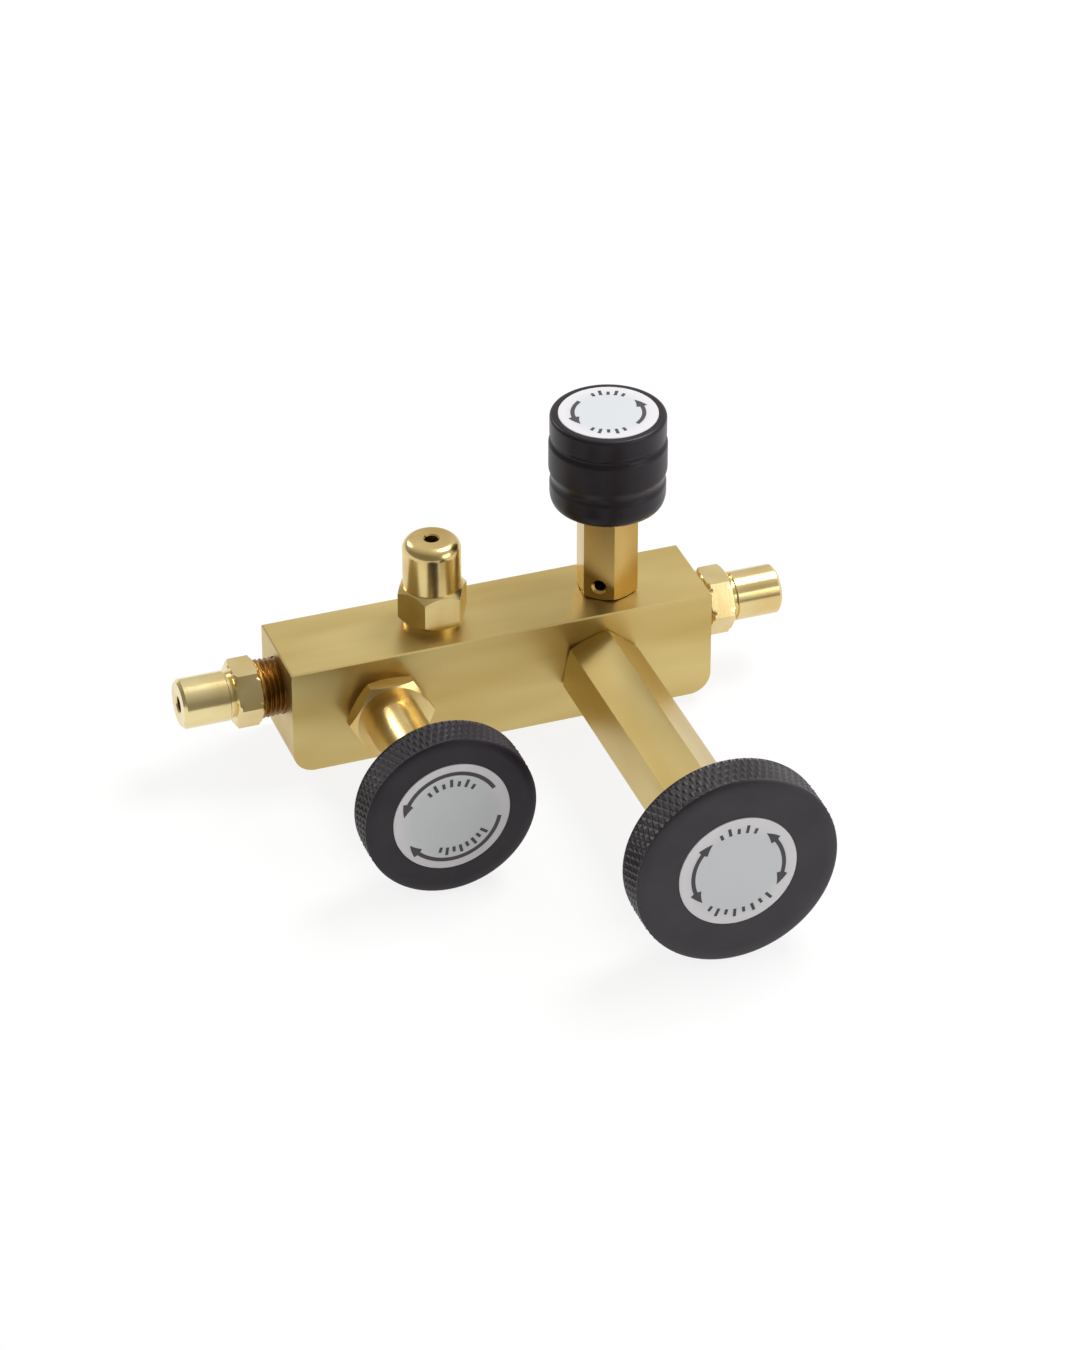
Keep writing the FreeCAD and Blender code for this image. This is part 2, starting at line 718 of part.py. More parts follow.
def write_fine_adjuster():
    """Write every piece of the fine-adjust cylinder."""
    pieces = {
        "adjuster_barrel": adjuster_barrel(),
        "adjuster_barrel_ring": mouth_ring(adjuster_thread_radius),
        "adjuster_bush": adjuster_bush(),
        "adjuster_piston": adjuster_piston(),
        "adjuster_piston_rings": piston_rings(),
        "adjuster_backup_rings": piston_backups(),
        "adjuster_retaining_pins": pin_rods(retaining_pin_radius, retaining_pin_length),
        "adjuster_screw": adjuster_screw(),
        "adjuster_knob": disc_knob(
            adjuster_knob_radius, adjuster_knob_thickness, adjuster_knob_front,
            adjuster_hub_radius, adjuster_hub_length, adjuster_label_radius,
            adjuster_flutes, screw_rod_radius),
        "adjuster_set_screw": set_screw(
            screw_rod_radius, adjuster_hub_back + adjuster_hub_length / 2),
        "adjuster_label": label(adjuster_label_radius, adjuster_knob_front)}
    for name, shape in pieces.items():
        write_part(name, on_front(shape, adjuster_x, adjuster_height))


def main():
    write_part("manifold_block", manifold_block())
    write_part("supply_port", on_end(end_port(supply_port_engagement), -1))
    write_part("outlet_port", on_end(end_port(outlet_port_engagement), 1))
    write_part("gauge_port", on_top(gauge_port(), gauge_port_x))
    write_part("gauge_port_ring", on_top(mouth_ring(gauge_thread_radius), gauge_port_x))
    write_isolation_valve()
    write_vent_valve()
    write_fine_adjuster()


main()
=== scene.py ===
import math

import bpy
import numpy as np
from mathutils import Matrix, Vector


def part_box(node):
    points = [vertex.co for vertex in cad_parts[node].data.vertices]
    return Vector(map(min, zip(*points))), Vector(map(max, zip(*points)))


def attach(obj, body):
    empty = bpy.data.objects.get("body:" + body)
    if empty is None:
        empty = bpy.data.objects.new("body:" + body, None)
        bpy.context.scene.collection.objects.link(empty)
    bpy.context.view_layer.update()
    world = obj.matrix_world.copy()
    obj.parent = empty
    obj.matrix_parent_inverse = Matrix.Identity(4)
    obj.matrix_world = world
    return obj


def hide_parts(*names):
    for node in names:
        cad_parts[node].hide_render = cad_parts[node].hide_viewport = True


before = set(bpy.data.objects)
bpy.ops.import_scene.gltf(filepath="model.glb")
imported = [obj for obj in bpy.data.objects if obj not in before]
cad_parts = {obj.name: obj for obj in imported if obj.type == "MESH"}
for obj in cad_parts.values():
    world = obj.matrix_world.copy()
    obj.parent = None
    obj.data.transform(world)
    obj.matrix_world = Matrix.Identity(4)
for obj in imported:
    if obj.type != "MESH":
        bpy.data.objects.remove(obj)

bl_info = {
    "name": "Pressure test manifold",
    "version": (1, 0, 0),
    "blender": (4, 5, 0),
    "location": "View3D > Sidebar > Manifold",
    "description": "Finishes a brass pressure test manifold: threads, knobs, labels and metals",
    "category": "Object",
}

MM = 0.001
ALONG_X = 0
ALONG_Y = 1
ALONG_Z = 2

# Radius at which a turned profile stops, where a fan of triangles shuts it
FAN_RADIUS = 1.0 * MM
# Sizes of a profile that differ by less than this are the same
MATCH = 0.01 * MM
# Small edges: a bore's chamfered mouth, the edge of a label pocket, the slope round a hole
MOUTH = 0.3 * MM
POCKET_EDGE = 0.08 * MM
HOLE_EDGE = 0.15 * MM
# Half the width that an arrowhead keeps at its tip
ARROW_TIP = 0.01 * MM


def linear(code):
    """The linear RGBA of an sRGB colour written as #RRGGBB."""
    parts = [int(code[start:start + 2], 16) / 255 for start in (1, 3, 5)]
    return [part / 12.92 if part <= 0.04045 else ((part + 0.055) / 1.055) ** 2.4
            for part in parts] + [1.0]


def colour(name, description, code):
    """A colour that the user can change, with its sRGB default."""
    return bpy.props.FloatVectorProperty(name=name, description=description, size=4,
                                         subtype="COLOR", min=0.0, max=1.0,
                                         default=linear(code))


def length(name, description, millimetres):
    """A length that the user can change, given in millimetres and kept in metres."""
    return bpy.props.FloatProperty(name=name, description=description, unit="LENGTH",
                                   min=0.0, precision=5, default=millimetres * MM)


def share(name, description, value):
    """A plain number from 0 to 1 that the user can change."""
    return bpy.props.FloatProperty(name=name, description=description, subtype="FACTOR",
                                   min=0.0, max=1.0, default=value)


def angle(name, description, degrees):
    """An angle that the user can change, given in degrees."""
    return bpy.props.FloatProperty(name=name, description=description, subtype="ANGLE",
                                   default=math.radians(degrees))


def power(name, description, watts):
    """A lamp's power that the user can change, in watts."""
    return bpy.props.FloatProperty(name=name, description=description, unit="POWER", min=0.0,
                                   default=watts)


def number(name, description, value):
    """A whole number that the user can change."""
    return bpy.props.IntProperty(name=name, description=description, min=3, default=value)


BAR_LOW, BAR_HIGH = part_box("manifold_block")
ISOLATION_LOW, ISOLATION_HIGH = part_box("isolation_knob")
ADJUSTER_LOW, ADJUSTER_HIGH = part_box("adjuster_knob")
VENT_LOW, VENT_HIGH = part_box("vent_knob")
SUPPLY_LOW, SUPPLY_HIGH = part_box("supply_port")
OUTLET_LOW, OUTLET_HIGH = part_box("outlet_port")
SCREW_LOW, SCREW_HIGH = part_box("adjuster_screw")


class BrassSettings(bpy.types.PropertyGroup):
    """Colours and grain of the brass pieces."""
    bar: colour("Drawn bar", "Colour of the drawn bar and the long cylinder", "#D2BD80")
    bar_dark: colour("Drawn bar, dull", "Duller patches of the drawn bar", "#C0A666")
    gauge: colour("Gauge port", "Colour of the gauge port and the valve body", "#E0C98C")
    gauge_dark: colour("Gauge port, dull", "Duller patches of the gauge port", "#C8A868")
    # Vent column colours: the gauge port's brass darkened and browned, as painted shade of its
    # shaded facets.
    column: colour("Vent column", "Colour of the hexagonal vent column", "#CDAF6C")
    column_dark: colour("Vent column, dull", "Browner patches of the vent column", "#AE8946")
    turned: colour("End ports", "Colour of the turned end ports", "#EAD8A2")
    turned_dark: colour("End ports, dull", "Duller patches of the end ports", "#DAC084")
    # Thread colours: the end ports' brass darkened and browned, as painted shade of the gap between
    # hexagon and bar.
    thread: colour("Cut thread", "Colour of the pipe threads", "#A67E40")
    thread_dark_painted_shade: colour("Cut thread, dull", "Browner patches of the pipe threads", "#7E5722")
    bar_roughness: share("Bar roughness", "Roughness of the satin drawn faces", 0.38)
    turned_roughness: share("Turned roughness", "Roughness of the bright turned faces", 0.19)
    thread_roughness: share("Thread roughness", "Roughness of the pipe threads", 0.4)
    streak: length("Streak spacing", "Distance between two drawing lines", 0.35)
    ring: length("Ring spacing", "Distance between two turning marks", 0.22)
    patch: length("Patch size", "Width of a duller patch", 16.0)


class PortSettings(bpy.types.PropertyGroup):
    """Sizes of the two end ports."""
    thread_radius: length("Thread radius", "Large end of the tapered thread, at its crests", 8.55)
    thread_length: length("Thread length", "Length of the tapered thread", 15.0)
    thread_taper: share("Thread taper", "Radius lost per length along the thread", 0.03125)
    thread_pitch: length("Thread pitch", "Distance between two crests", 1.411)
    thread_depth: length("Thread depth", "Depth of the thread below its crests", 0.85)
    hexagon: length("Hexagon", "Size across the flats of the spanner hexagon", 17.46)
    hexagon_length: length("Hexagon length", "Length of the spanner hexagon", 8.0)
    relief_radius: length("Relief radius", "Radius of the groove behind the hexagon", 6.6)
    relief_length: length("Relief length", "Length of the groove behind the hexagon", 1.4)
    stub_radius: length("Stub radius", "Radius of the plain stub", 7.3)
    stub_chamfer: length("Stub chamfer", "Chamfer at the end of the stub", 0.9)
    bore_radius: length("Bore radius", "Radius of the air passage", 2.4)


class KnobSettings(bpy.types.PropertyGroup):
    """Finish of the three knobs, sizes of the two disc knobs, and bores and pockets of all."""
    black: colour("Anodised black", "Colour of the dyed oxide layer", "#1D171E")
    worn: colour("Worn black", "Colour where handling has polished the layer", "#272228")
    roughness: share("Roughness", "Roughness of the satin black surface", 0.36)
    ring: length("Ring spacing", "Distance between two turning marks", 0.4)
    patch: length("Patch size", "Width of a patch polished by handling", 12.0)
    isolation_gloss: share("Isolation gloss", "Specular level of the isolation knob", 0.30)
    adjuster_gloss: share("Fine-adjust gloss", "Specular level of the fine-adjust knob", 0.45)
    vent_gloss: share("Vent gloss", "Specular level of the vent knob", 0.22)
    isolation_lines: number("Isolation knurl", "Diamonds round the isolation knob", 80)
    adjuster_lines: number("Fine-adjust knurl", "Diamonds round the fine-adjust knob", 84)
    knurl_depth: length("Knurl depth", "Depth of the diamond knurl", 0.6)
    knurl_lead: length("Knurl lead", "Length of one diamond across the rim", 5.2)
    rim_chamfer: length("Rim chamfer", "Plain chamfer beside the knurl", 0.9)
    isolation_hub: length("Isolation hub radius", "Radius of the hub behind the knob", 11.0)
    adjuster_hub: length("Fine-adjust hub radius", "Radius of the hub behind the knob", 12.0)
    hub_length: length("Hub length", "Length of the hub behind a disc knob", 5.2)
    hub_root: length("Hub root", "Hollow rounding where a disc knob meets its hub", 0.8)
    hub_chamfer: length("Hub chamfer", "Chamfer at the end of the hub", 0.5)
    valve_stem: length("Valve stem radius", "Bore of the two valve knobs", 3.05)
    screw_stem: length("Screw stem radius", "Bore of the fine-adjust knob", 4.05)
    stem_depth: length("Stem depth", "Depth of the blind bore for the stem", 9.5)
    pocket_depth: length("Pocket depth", "Depth of the label pocket", 0.3)
    label_gap: length("Label gap", "Gap round a label in its pocket", 0.1)
    screw_radius: length("Screw hole radius", "Radius of the set screw's hole", 2.05)
    valve_screw: length("Valve screw floor", "Where the hole of a valve knob ends", 4.5)
    adjuster_screw: length("Fine-adjust screw floor", "Where the fine-adjust hole ends", 5.5)


class VentKnobSettings(bpy.types.PropertyGroup):
    """Profile of the tall vent knob, with heights from its foot and drops from its top."""
    inset: length("Inset", "How far cap and foot lie inside the body", 0.3)
    rounding: length("Rounding", "Rounding of the upper edge", 1.1)
    cap: length("Cap", "Drop to where the body starts to swell", 6.6)
    swell: length("Swell", "Length over which the body swells", 1.2)
    groove: length("Groove", "Drop to the middle of the groove under the cap", 7.7)
    groove_reach: length("Groove reach", "Half the width of the groove", 1.6)
    groove_depth: length("Groove depth", "Depth of the groove", 0.85)
    taper: length("Taper height", "Height where the body starts to narrow to the foot", 10.0)
    taper_length: length("Taper length", "Length over which the body narrows", 2.5)
    waist: length("Waist", "Height of the middle of the waist", 9.0)
    waist_reach: length("Waist reach", "Half the width of the waist", 2.6)
    waist_depth: length("Waist depth", "Depth of the waist", 0.62)
    foot: length("Foot", "Height of the rounded foot", 3.9)
    foot_round: length("Foot rounding", "How far the foot rounds inward", 1.6)
    screw_height: length("Screw height", "Height of the set screw's hole", 5.0)


class LabelSettings(bpy.types.PropertyGroup):
    """Label plates and their printed marks."""
    plate: colour("Plate", "Colour of the satin label plates", "#CFCDD1")
    middle: colour("Plate middle", "Colour inside the printed arcs", "#C2C5C9")
    ink: colour("Ink", "Colour of the printed marks", "#343137")
    ink_thin: colour("Ink, thin", "Colour of the marks where the ink is thin", "#3E3B41")
    plate_thickness: length("Plate thickness", "Thickness of a label plate", 0.45)
    ink_thickness: length("Ink thickness", "Height of the printed marks", 0.05)
    stroke: length("Stroke", "Width of the printed arcs", 1.2)
    arrow_width: length("Arrow width", "Width of an arrowhead", 3.5)
    arrow_length: length("Arrow length", "Length of an arrowhead", 4.2)
    tick: length("Tick width", "Width of a printed tick", 0.9)
    short_tick: length("Short tick", "Length of every other tick", 1.7)
    long_tick: length("Long tick", "Length of the ticks between them", 2.5)
    vent_turn: angle("Vent label turn", "Turn of the vent label about its axis", -20.0)


class ScrewSettings(bpy.types.PropertyGroup):
    """Sizes of the lead screw of the fine adjust."""
    head_radius: length("Head radius", "Radius of the button head in the piston", 3.7)
    head_length: length("Head length", "Length of the button head", 2.4)
    neck_radius: length("Neck radius", "Radius of the neck behind the head", 2.6)
    neck_length: length("Neck length", "Length of the neck behind the head", 3.0)
    thread_radius: length("Thread radius", "Radius of the thread at its crests", 4.7)
    thread_depth: length("Thread depth", "Depth of the thread", 0.7)
    thread_pitch: length("Thread pitch", "Travel of the screw in one turn", 1.27)
    stem_radius: length("Stem radius", "Radius of the stem in the knob", 4.0)
    stem_length: length("Stem length", "Length of the stem in the knob", 9.0)
    flat_depth: length("Flat depth", "Depth of the flat for the set screw", 0.6)


class StageSettings(bpy.types.PropertyGroup):
    """Floor, lamps and camera."""
    paper: colour("Paper", "Colour of the floor", "#F4F4F4")
    paper_glow: share("Paper glow", "Part of the floor's white that ignores shadows", 0.85)
    dim_side: colour("Dim side", "Colour of the studio low down, left and in front", "#8E8A82")
    bright_side: colour("Bright side", "Colour of the studio above, right and behind", "#E8E7E4")
    key_power: power("Key lamp", "Power of the soft lamp at the upper right", 11.0)
    rim_power: power("Rim lamp", "Power of the soft lamp behind on the left", 3.5)
    fill_power: power("Fill lamp", "Power of the soft lamp in front on the right", 2.5)
    focal_length: bpy.props.FloatProperty(name="Focal length", description="Lens of the camera",
                                          unit="CAMERA", min=1.0, default=173.33)


class ManifoldSettings(bpy.types.PropertyGroup):
    """Everything that a user can change."""
    brass: bpy.props.PointerProperty(type=BrassSettings)
    ports: bpy.props.PointerProperty(type=PortSettings)
    knobs: bpy.props.PointerProperty(type=KnobSettings)
    vent_knob: bpy.props.PointerProperty(type=VentKnobSettings)
    labels: bpy.props.PointerProperty(type=LabelSettings)
    screw: bpy.props.PointerProperty(type=ScrewSettings)
    stage: bpy.props.PointerProperty(type=StageSettings)


def run(corners, step):
    """Points along straight runs between corners, each at most one step from the next."""
    corners = np.asarray(corners, float)
    pieces = [corners[:1]]
    for start, end in zip(corners[:-1], corners[1:]):
        parts = max(1, int(np.ceil(np.linalg.norm(end - start) / step)))
        shares = np.arange(1, parts + 1)[:, None] / parts
        pieces.append(start + (end - start) * shares)
    return np.concatenate(pieces)


def quarter(centre, radius, start, end, parts=6):
    """Points on an arc of a profile: centre plus radius times cosine and sine of the angle."""
    turn = np.radians(np.linspace(start, end, parts + 1))
    return np.stack([centre[0] + radius * np.cos(turn), centre[1] + radius * np.sin(turn)], axis=1)


def circle(parts):
    """Evenly spaced angles, once round."""
    return np.linspace(0, 2 * math.pi, parts, endpoint=False)


def ease(value):
    """0 below 0, 1 above 1, and a smooth S between them: 3v squared minus 2v cubed."""
    value = np.clip(value, 0.0, 1.0)
    return value * value * (3.0 - 2.0 * value)


def wave(turns):
    """A triangular wave of a number of turns: 1 at each whole turn, 0 half way between."""
    return 1.0 - 2.0 * np.abs(turns - np.round(turns))


def thread_cut(around, heights, pitch):
    """Share of a thread's depth that is cut at each angle and height: 0 on the crests and 1 in
    the roots, both with a narrow flat. It is 1.15 minus 1.3 times the triangular wave of the
    turns, which are angle over a full circle plus height over pitch, held between 0 and 1."""
    turns = around / (2 * math.pi) + heights[:, None] / pitch
    return np.clip(1.15 - 1.3 * wave(turns), 0.0, 1.0)


def dip(height, middle, reach):
    """A smooth hollow along a profile: 1 at its middle and 0 at its reach, by the squared
    cosine of the share of the reach."""
    distance = np.clip(np.abs(height - middle) / reach, 0, 1)
    return np.cos(distance * math.pi / 2) ** 2


def hexagon_reach(around, across_flats):
    """Distance from the axis to a hexagon: half the flats over the cosine from the nearest flat."""
    nearest = np.mod(around + math.pi / 6, math.pi / 3) - math.pi / 6
    return across_flats / 2 / np.cos(nearest)


def polar(heights, reach, around):
    """Points on a grid: height along Z, and reach times cosine and sine of the angle."""
    reach = np.broadcast_to(reach, (len(heights), len(around)))
    return np.stack([reach * np.cos(around), reach * np.sin(around),
                     np.broadcast_to(np.asarray(heights)[:, None], reach.shape)], axis=-1)


def placed(points, origin, right, up, out):
    """Points carried from a piece's own axes to the frame: origin plus x right, y up, z out."""
    axes = np.array([right, up, out], float)
    return points @ axes + np.asarray(origin, float)


def on_front(points, low, high):
    """Points carried to the bar's front, on the axis through the middle of a piece's box."""
    origin = ((low.x + high.x) / 2, BAR_LOW.y, (low.z + high.z) / 2)
    return placed(points, origin, (1, 0, 0), (0, 0, 1), (0, -1, 0))


def on_top(points, low, high):
    """Points carried to the bar's top, on the axis through the middle of a piece's box."""
    origin = ((low.x + high.x) / 2, (low.y + high.y) / 2, BAR_HIGH.z)
    return placed(points, origin, (1, 0, 0), (0, 1, 0), (0, 0, 1))


def faces_of(grid, looped):
    """Points, quads and triangles of one grid of points[path, round]. It is joined round, and
    along its path it is either joined too or shut at each end by a fan. Faces point out: the
    sum of corner triple products, six times the volume, is made positive."""
    rows, columns = grid.shape[:2]
    index = np.arange(rows * columns).reshape(rows, columns)
    here = index if looped else index[:-1]
    there = np.roll(index, -1, axis=0) if looped else index[1:]
    quads = np.stack([here, np.roll(here, -1, axis=1), np.roll(there, -1, axis=1), there],
                     axis=-1).reshape(-1, 4)
    points = grid.reshape(-1, 3)
    fans = np.empty((0, 3), int)
    if not looped:
        points = np.concatenate([points, [grid[0].mean(axis=0), grid[-1].mean(axis=0)]])
        first, last = len(points) - 2, len(points) - 1
        start = np.stack([np.roll(index[0], -1), index[0], np.full(columns, first)], axis=-1)
        finish = np.stack([index[-1], np.roll(index[-1], -1), np.full(columns, last)], axis=-1)
        fans = np.concatenate([start, finish])
    triangles = np.concatenate([quads[:, [0, 1, 2]], quads[:, [0, 2, 3]], fans])
    corners = points[triangles] - points.mean(axis=0)
    volume = np.einsum("ij,ij->i", corners[:, 0], np.cross(corners[:, 1], corners[:, 2])).sum()
    if volume < 0:
        quads, fans = quads[:, ::-1], fans[:, ::-1]
    return points, quads, fans


def skin(name, grids, material, looped=False, crease=32.0):
    """One mesh over one or more grids, sharp where its faces turn by more than the crease."""
    points, faces = [], []
    for grid in grids:
        more, quads, fans = faces_of(grid, looped)
        faces += (quads + len(points)).tolist() + (fans + len(points)).tolist()
        points += more.tolist()
    mesh = bpy.data.meshes.new(name)
    mesh.from_pydata(points, [], faces)
    mesh.validate()
    mesh.shade_smooth()
    mesh.set_sharp_from_angle(angle=math.radians(crease))
    mesh.materials.append(material)
    piece = bpy.data.objects.new(name, mesh)
    bpy.context.scene.collection.objects.link(piece)
    return piece


def fit(piece, body, slot, *nodes):
    """Let a piece ride on a body and stand for CAD nodes, which it hides. The slot is not used."""
    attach(piece, body)
    if nodes:
        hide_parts(*nodes)


def second_finish(piece, material, rows, columns):
    """Give a second material to marked rows of a one-grid piece, whose faces run row by row."""
    piece.data.materials.append(material)
    index = np.zeros(len(piece.data.polygons), int)
    index[:len(rows) * columns] = np.repeat(rows.astype(int), columns)
    piece.data.polygons.foreach_set("material_index", index)


def new_material(name):
    """An empty node material and its tree."""
    material = bpy.data.materials.new(name)
    material.use_nodes = True
    material.node_tree.nodes.clear()
    return material, material.node_tree


def add(tree, kind, values=None, links=None, stops=(), **settings):
    """Add a node: its settings, the values of its inputs, the outputs joined to its inputs, and
    the position and colour of each stop of a colour ramp."""
    node = tree.nodes.new(kind)
    for name, value in settings.items():
        setattr(node, name, value)
    for socket, value in (values or {}).items():
        node.inputs[socket].default_value = value
    for socket, output in (links or {}).items():
        tree.links.new(output, node.inputs[socket])
    for index, (position, tone) in enumerate(stops):
        node.color_ramp.elements[index].position = position
        node.color_ramp.elements[index].color = tone
    return node


def grain_scale(across, along, axis):
    """A pattern's scale on each axis, for grains of one size across an axis and another along
    it: one over the size."""
    scale = [1 / across] * 3
    scale[axis] = 1 / along
    return scale


def axis_distance(tree, place, centre, axis, unit=1.0):
    """Distance from an axis through a centre, in a unit: the length of the point less the
    centre, without its part along the axis."""
    scale = [1 / unit] * 3
    scale[axis] = 0.0
    shift = [-value / unit for value in centre]
    shift[axis] = 0.0
    centred = add(tree, "ShaderNodeMapping", {"Location": shift, "Scale": scale},
                  {"Vector": place})
    reach = add(tree, "ShaderNodeVectorMath", links={0: centred.outputs["Vector"]},
                operation="LENGTH")
    return reach.outputs["Value"]


def surface(tree, tone, grain, smooth, rough, relief, sockets, depth=0.02 * MM):
    """The end of a finish, from a colour ramp and a noise: the ramp's colour, a roughness that
    the noise moves between two values, and the noise as relief. A value that is the same all
    over goes on the shader's own socket."""
    # Nearly all of a noise lies between 0.3 and 0.7.
    gloss = add(tree, "ShaderNodeMapRange",
                {"From Min": 0.3, "From Max": 0.7, "To Min": smooth, "To Max": rough},
                {"Value": grain.outputs["Fac"]})
    bump = add(tree, "ShaderNodeBump", {"Strength": relief, "Distance": depth},
               {"Height": grain.outputs["Fac"]})
    shader = add(tree, "ShaderNodeBsdfPrincipled", sockets,
                 {"Base Color": tone.outputs["Color"], "Roughness": gloss.outputs["Result"],
                  "Normal": bump.outputs["Normal"]})
    add(tree, "ShaderNodeOutputMaterial", links={"Surface": shader.outputs["BSDF"]})


def brass(name, bright, dull, roughness, line_scale, patch_scale, relief):
    """Brass with fine lines, which vary its gloss, and wide patches, which dull its colour."""
    material, tree = new_material(name)
    place = add(tree, "ShaderNodeTexCoord").outputs["Object"]
    fine = add(tree, "ShaderNodeMapping", {"Scale": line_scale}, {"Vector": place})
    lines = add(tree, "ShaderNodeTexNoise", {"Scale": 1.0, "Detail": 3.0, "Roughness": 0.6},
                {"Vector": fine.outputs["Vector"]})
    wide = add(tree, "ShaderNodeMapping", {"Scale": patch_scale}, {"Vector": place})
    patches = add(tree, "ShaderNodeTexNoise", {"Scale": 1.0, "Detail": 2.0},
                  {"Vector": wide.outputs["Vector"]})
    tone = add(tree, "ShaderNodeValToRGB", links={"Fac": patches.outputs["Fac"]},
               stops=((0.32, dull), (0.68, bright)))
    surface(tree, tone, lines, roughness * 0.94, roughness * 1.08, relief, {"Metallic": 1.0})
    return material


def drawn_brass(name, look, bright, dull, roughness, axis, relief):
    """Drawn brass stock: lines 70 times and patches 4 times as long as they are wide."""
    return brass(name, bright, dull, roughness, grain_scale(look.streak, look.streak * 70, axis),
                 grain_scale(look.patch, look.patch * 4, axis), relief)


def turned_brass(name, look, bright, dull, roughness, axis):
    """Turned brass: rings 50 times as wide across the axis as along it, and round patches."""
    return brass(name, bright, dull, roughness, grain_scale(look.ring * 50, look.ring, axis),
                 grain_scale(look.patch, look.patch, axis), 0.3)


def black_anodised(name, settings, gloss, centre, axis):
    """Satin black anodised aluminium, turned: a near-black body under a soft sheen.

    Turning rings follow the distance from the knob's axis, and handling has polished patches."""
    material, tree = new_material(name)
    place = add(tree, "ShaderNodeTexCoord").outputs["Object"]
    rings = add(tree, "ShaderNodeTexNoise", {"Scale": 1 / settings.ring, "Detail": 2.0},
                {"W": axis_distance(tree, place, centre, axis)}, noise_dimensions="1D")
    patches = add(tree, "ShaderNodeTexNoise", {"Scale": 1 / settings.patch, "Detail": 3.0},
                  {"Vector": place})
    tone = add(tree, "ShaderNodeValToRGB", links={"Fac": patches.outputs["Fac"]},
               stops=((0.35, settings.black), (0.7, settings.worn)))
    surface(tree, tone, rings, settings.roughness * 0.9, settings.roughness * 1.15, 0.12,
            {"Metallic": 0.0, "Specular IOR Level": gloss}, depth=0.03 * MM)
    return material


def grained(name, first, second, metallic, roughness, grain, relief):
    """A plain finish with fine grain: noise of one grain size tints it, roughens it and
    lifts it a little."""
    material, tree = new_material(name)
    place = add(tree, "ShaderNodeTexCoord").outputs["Object"]
    grains = add(tree, "ShaderNodeTexNoise", {"Scale": 1 / grain, "Detail": 3.0},
                 {"Vector": place})
    tone = add(tree, "ShaderNodeValToRGB", links={"Fac": grains.outputs["Fac"]},
               stops=((0.3, first), (0.7, second)))
    surface(tree, tone, grains, roughness * 0.85, roughness * 1.15, relief,
            {"Metallic": metallic})
    return material


def label_stock(name, settings, centre, axis, radius):
    """Satin label stock with a light border: the tone goes by the distance from the label's
    axis over its radius, and a grain of a third of a millimetre by 25 mm runs along X."""
    material, tree = new_material(name)
    place = add(tree, "ShaderNodeTexCoord").outputs["Object"]
    tone = add(tree, "ShaderNodeValToRGB",
               links={"Fac": axis_distance(tree, place, centre, axis, radius)},
               stops=((0.68, settings.middle), (0.90, settings.plate)))
    drawn = add(tree, "ShaderNodeMapping", {"Scale": grain_scale(MM / 3, 25 * MM, ALONG_X)},
                {"Vector": place})
    grain = add(tree, "ShaderNodeTexNoise", {"Scale": 1.0, "Detail": 2.0},
                {"Vector": drawn.outputs["Vector"]})
    surface(tree, tone, grain, 0.36, 0.5, 0.08, {"Metallic": 0.0})
    return material


def dress(material, *nodes):
    """Give CAD nodes a material."""
    for name in nodes:
        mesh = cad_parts[name].data
        mesh.materials.clear()
        mesh.materials.append(material)


class MANIFOLD_OT_bar_finish(bpy.types.Operator):
    """Satin drawn brass for the bar and the long hexagonal cylinder."""
    bl_idname = "manifold.bar_finish"
    bl_label = "Bar and cylinder"

    def execute(self, context):
        look = context.scene.manifold.brass
        # Cold-drawn brass: long soft streaks, satin, olive-gold where it mirrors the room.
        dress(drawn_brass("drawn_brass_bar", look, look.bar, look.bar_dark,
                          look.bar_roughness, ALONG_X, 0.18), "manifold_block")
        # The same stock in hexagon form: smoother, with hardly any relief to its lines.
        dress(drawn_brass("drawn_brass_hexagon", look, look.bar, look.bar_dark,
                          look.bar_roughness * 0.8, ALONG_Y, 0.05), "adjuster_barrel")
        return {"FINISHED"}


class MANIFOLD_OT_turned_finish(bpy.types.Operator):
    """Brass for the fittings that stay as CAD nodes."""
    bl_idname = "manifold.turned_finish"
    bl_label = "Turned fittings"

    def execute(self, context):
        look = context.scene.manifold.brass
        # Handled turned brass: fine rings round the axis that widen each highlight.
        dress(turned_brass("turned_brass_front", look, look.gauge, look.gauge_dark,
                           look.turned_roughness * 1.5, ALONG_Y),
              "isolation_bonnet", "adjuster_bush")
        # The same on the upright port, a little glossier.
        dress(turned_brass("turned_brass_gauge", look, look.gauge, look.gauge_dark,
                           look.turned_roughness * 1.15, ALONG_Z), "gauge_port")
        # Drawn hexagon brass, its colour darkened and browned as painted shade: fine lines up the
        # column, deep gold in its dark facets.
        dress(drawn_brass("drawn_brass_column_painted_shade", look, look.column, look.column_dark,
                          look.turned_roughness * 1.3, ALONG_Z, 0.08), "vent_bonnet")
        return {"FINISHED"}


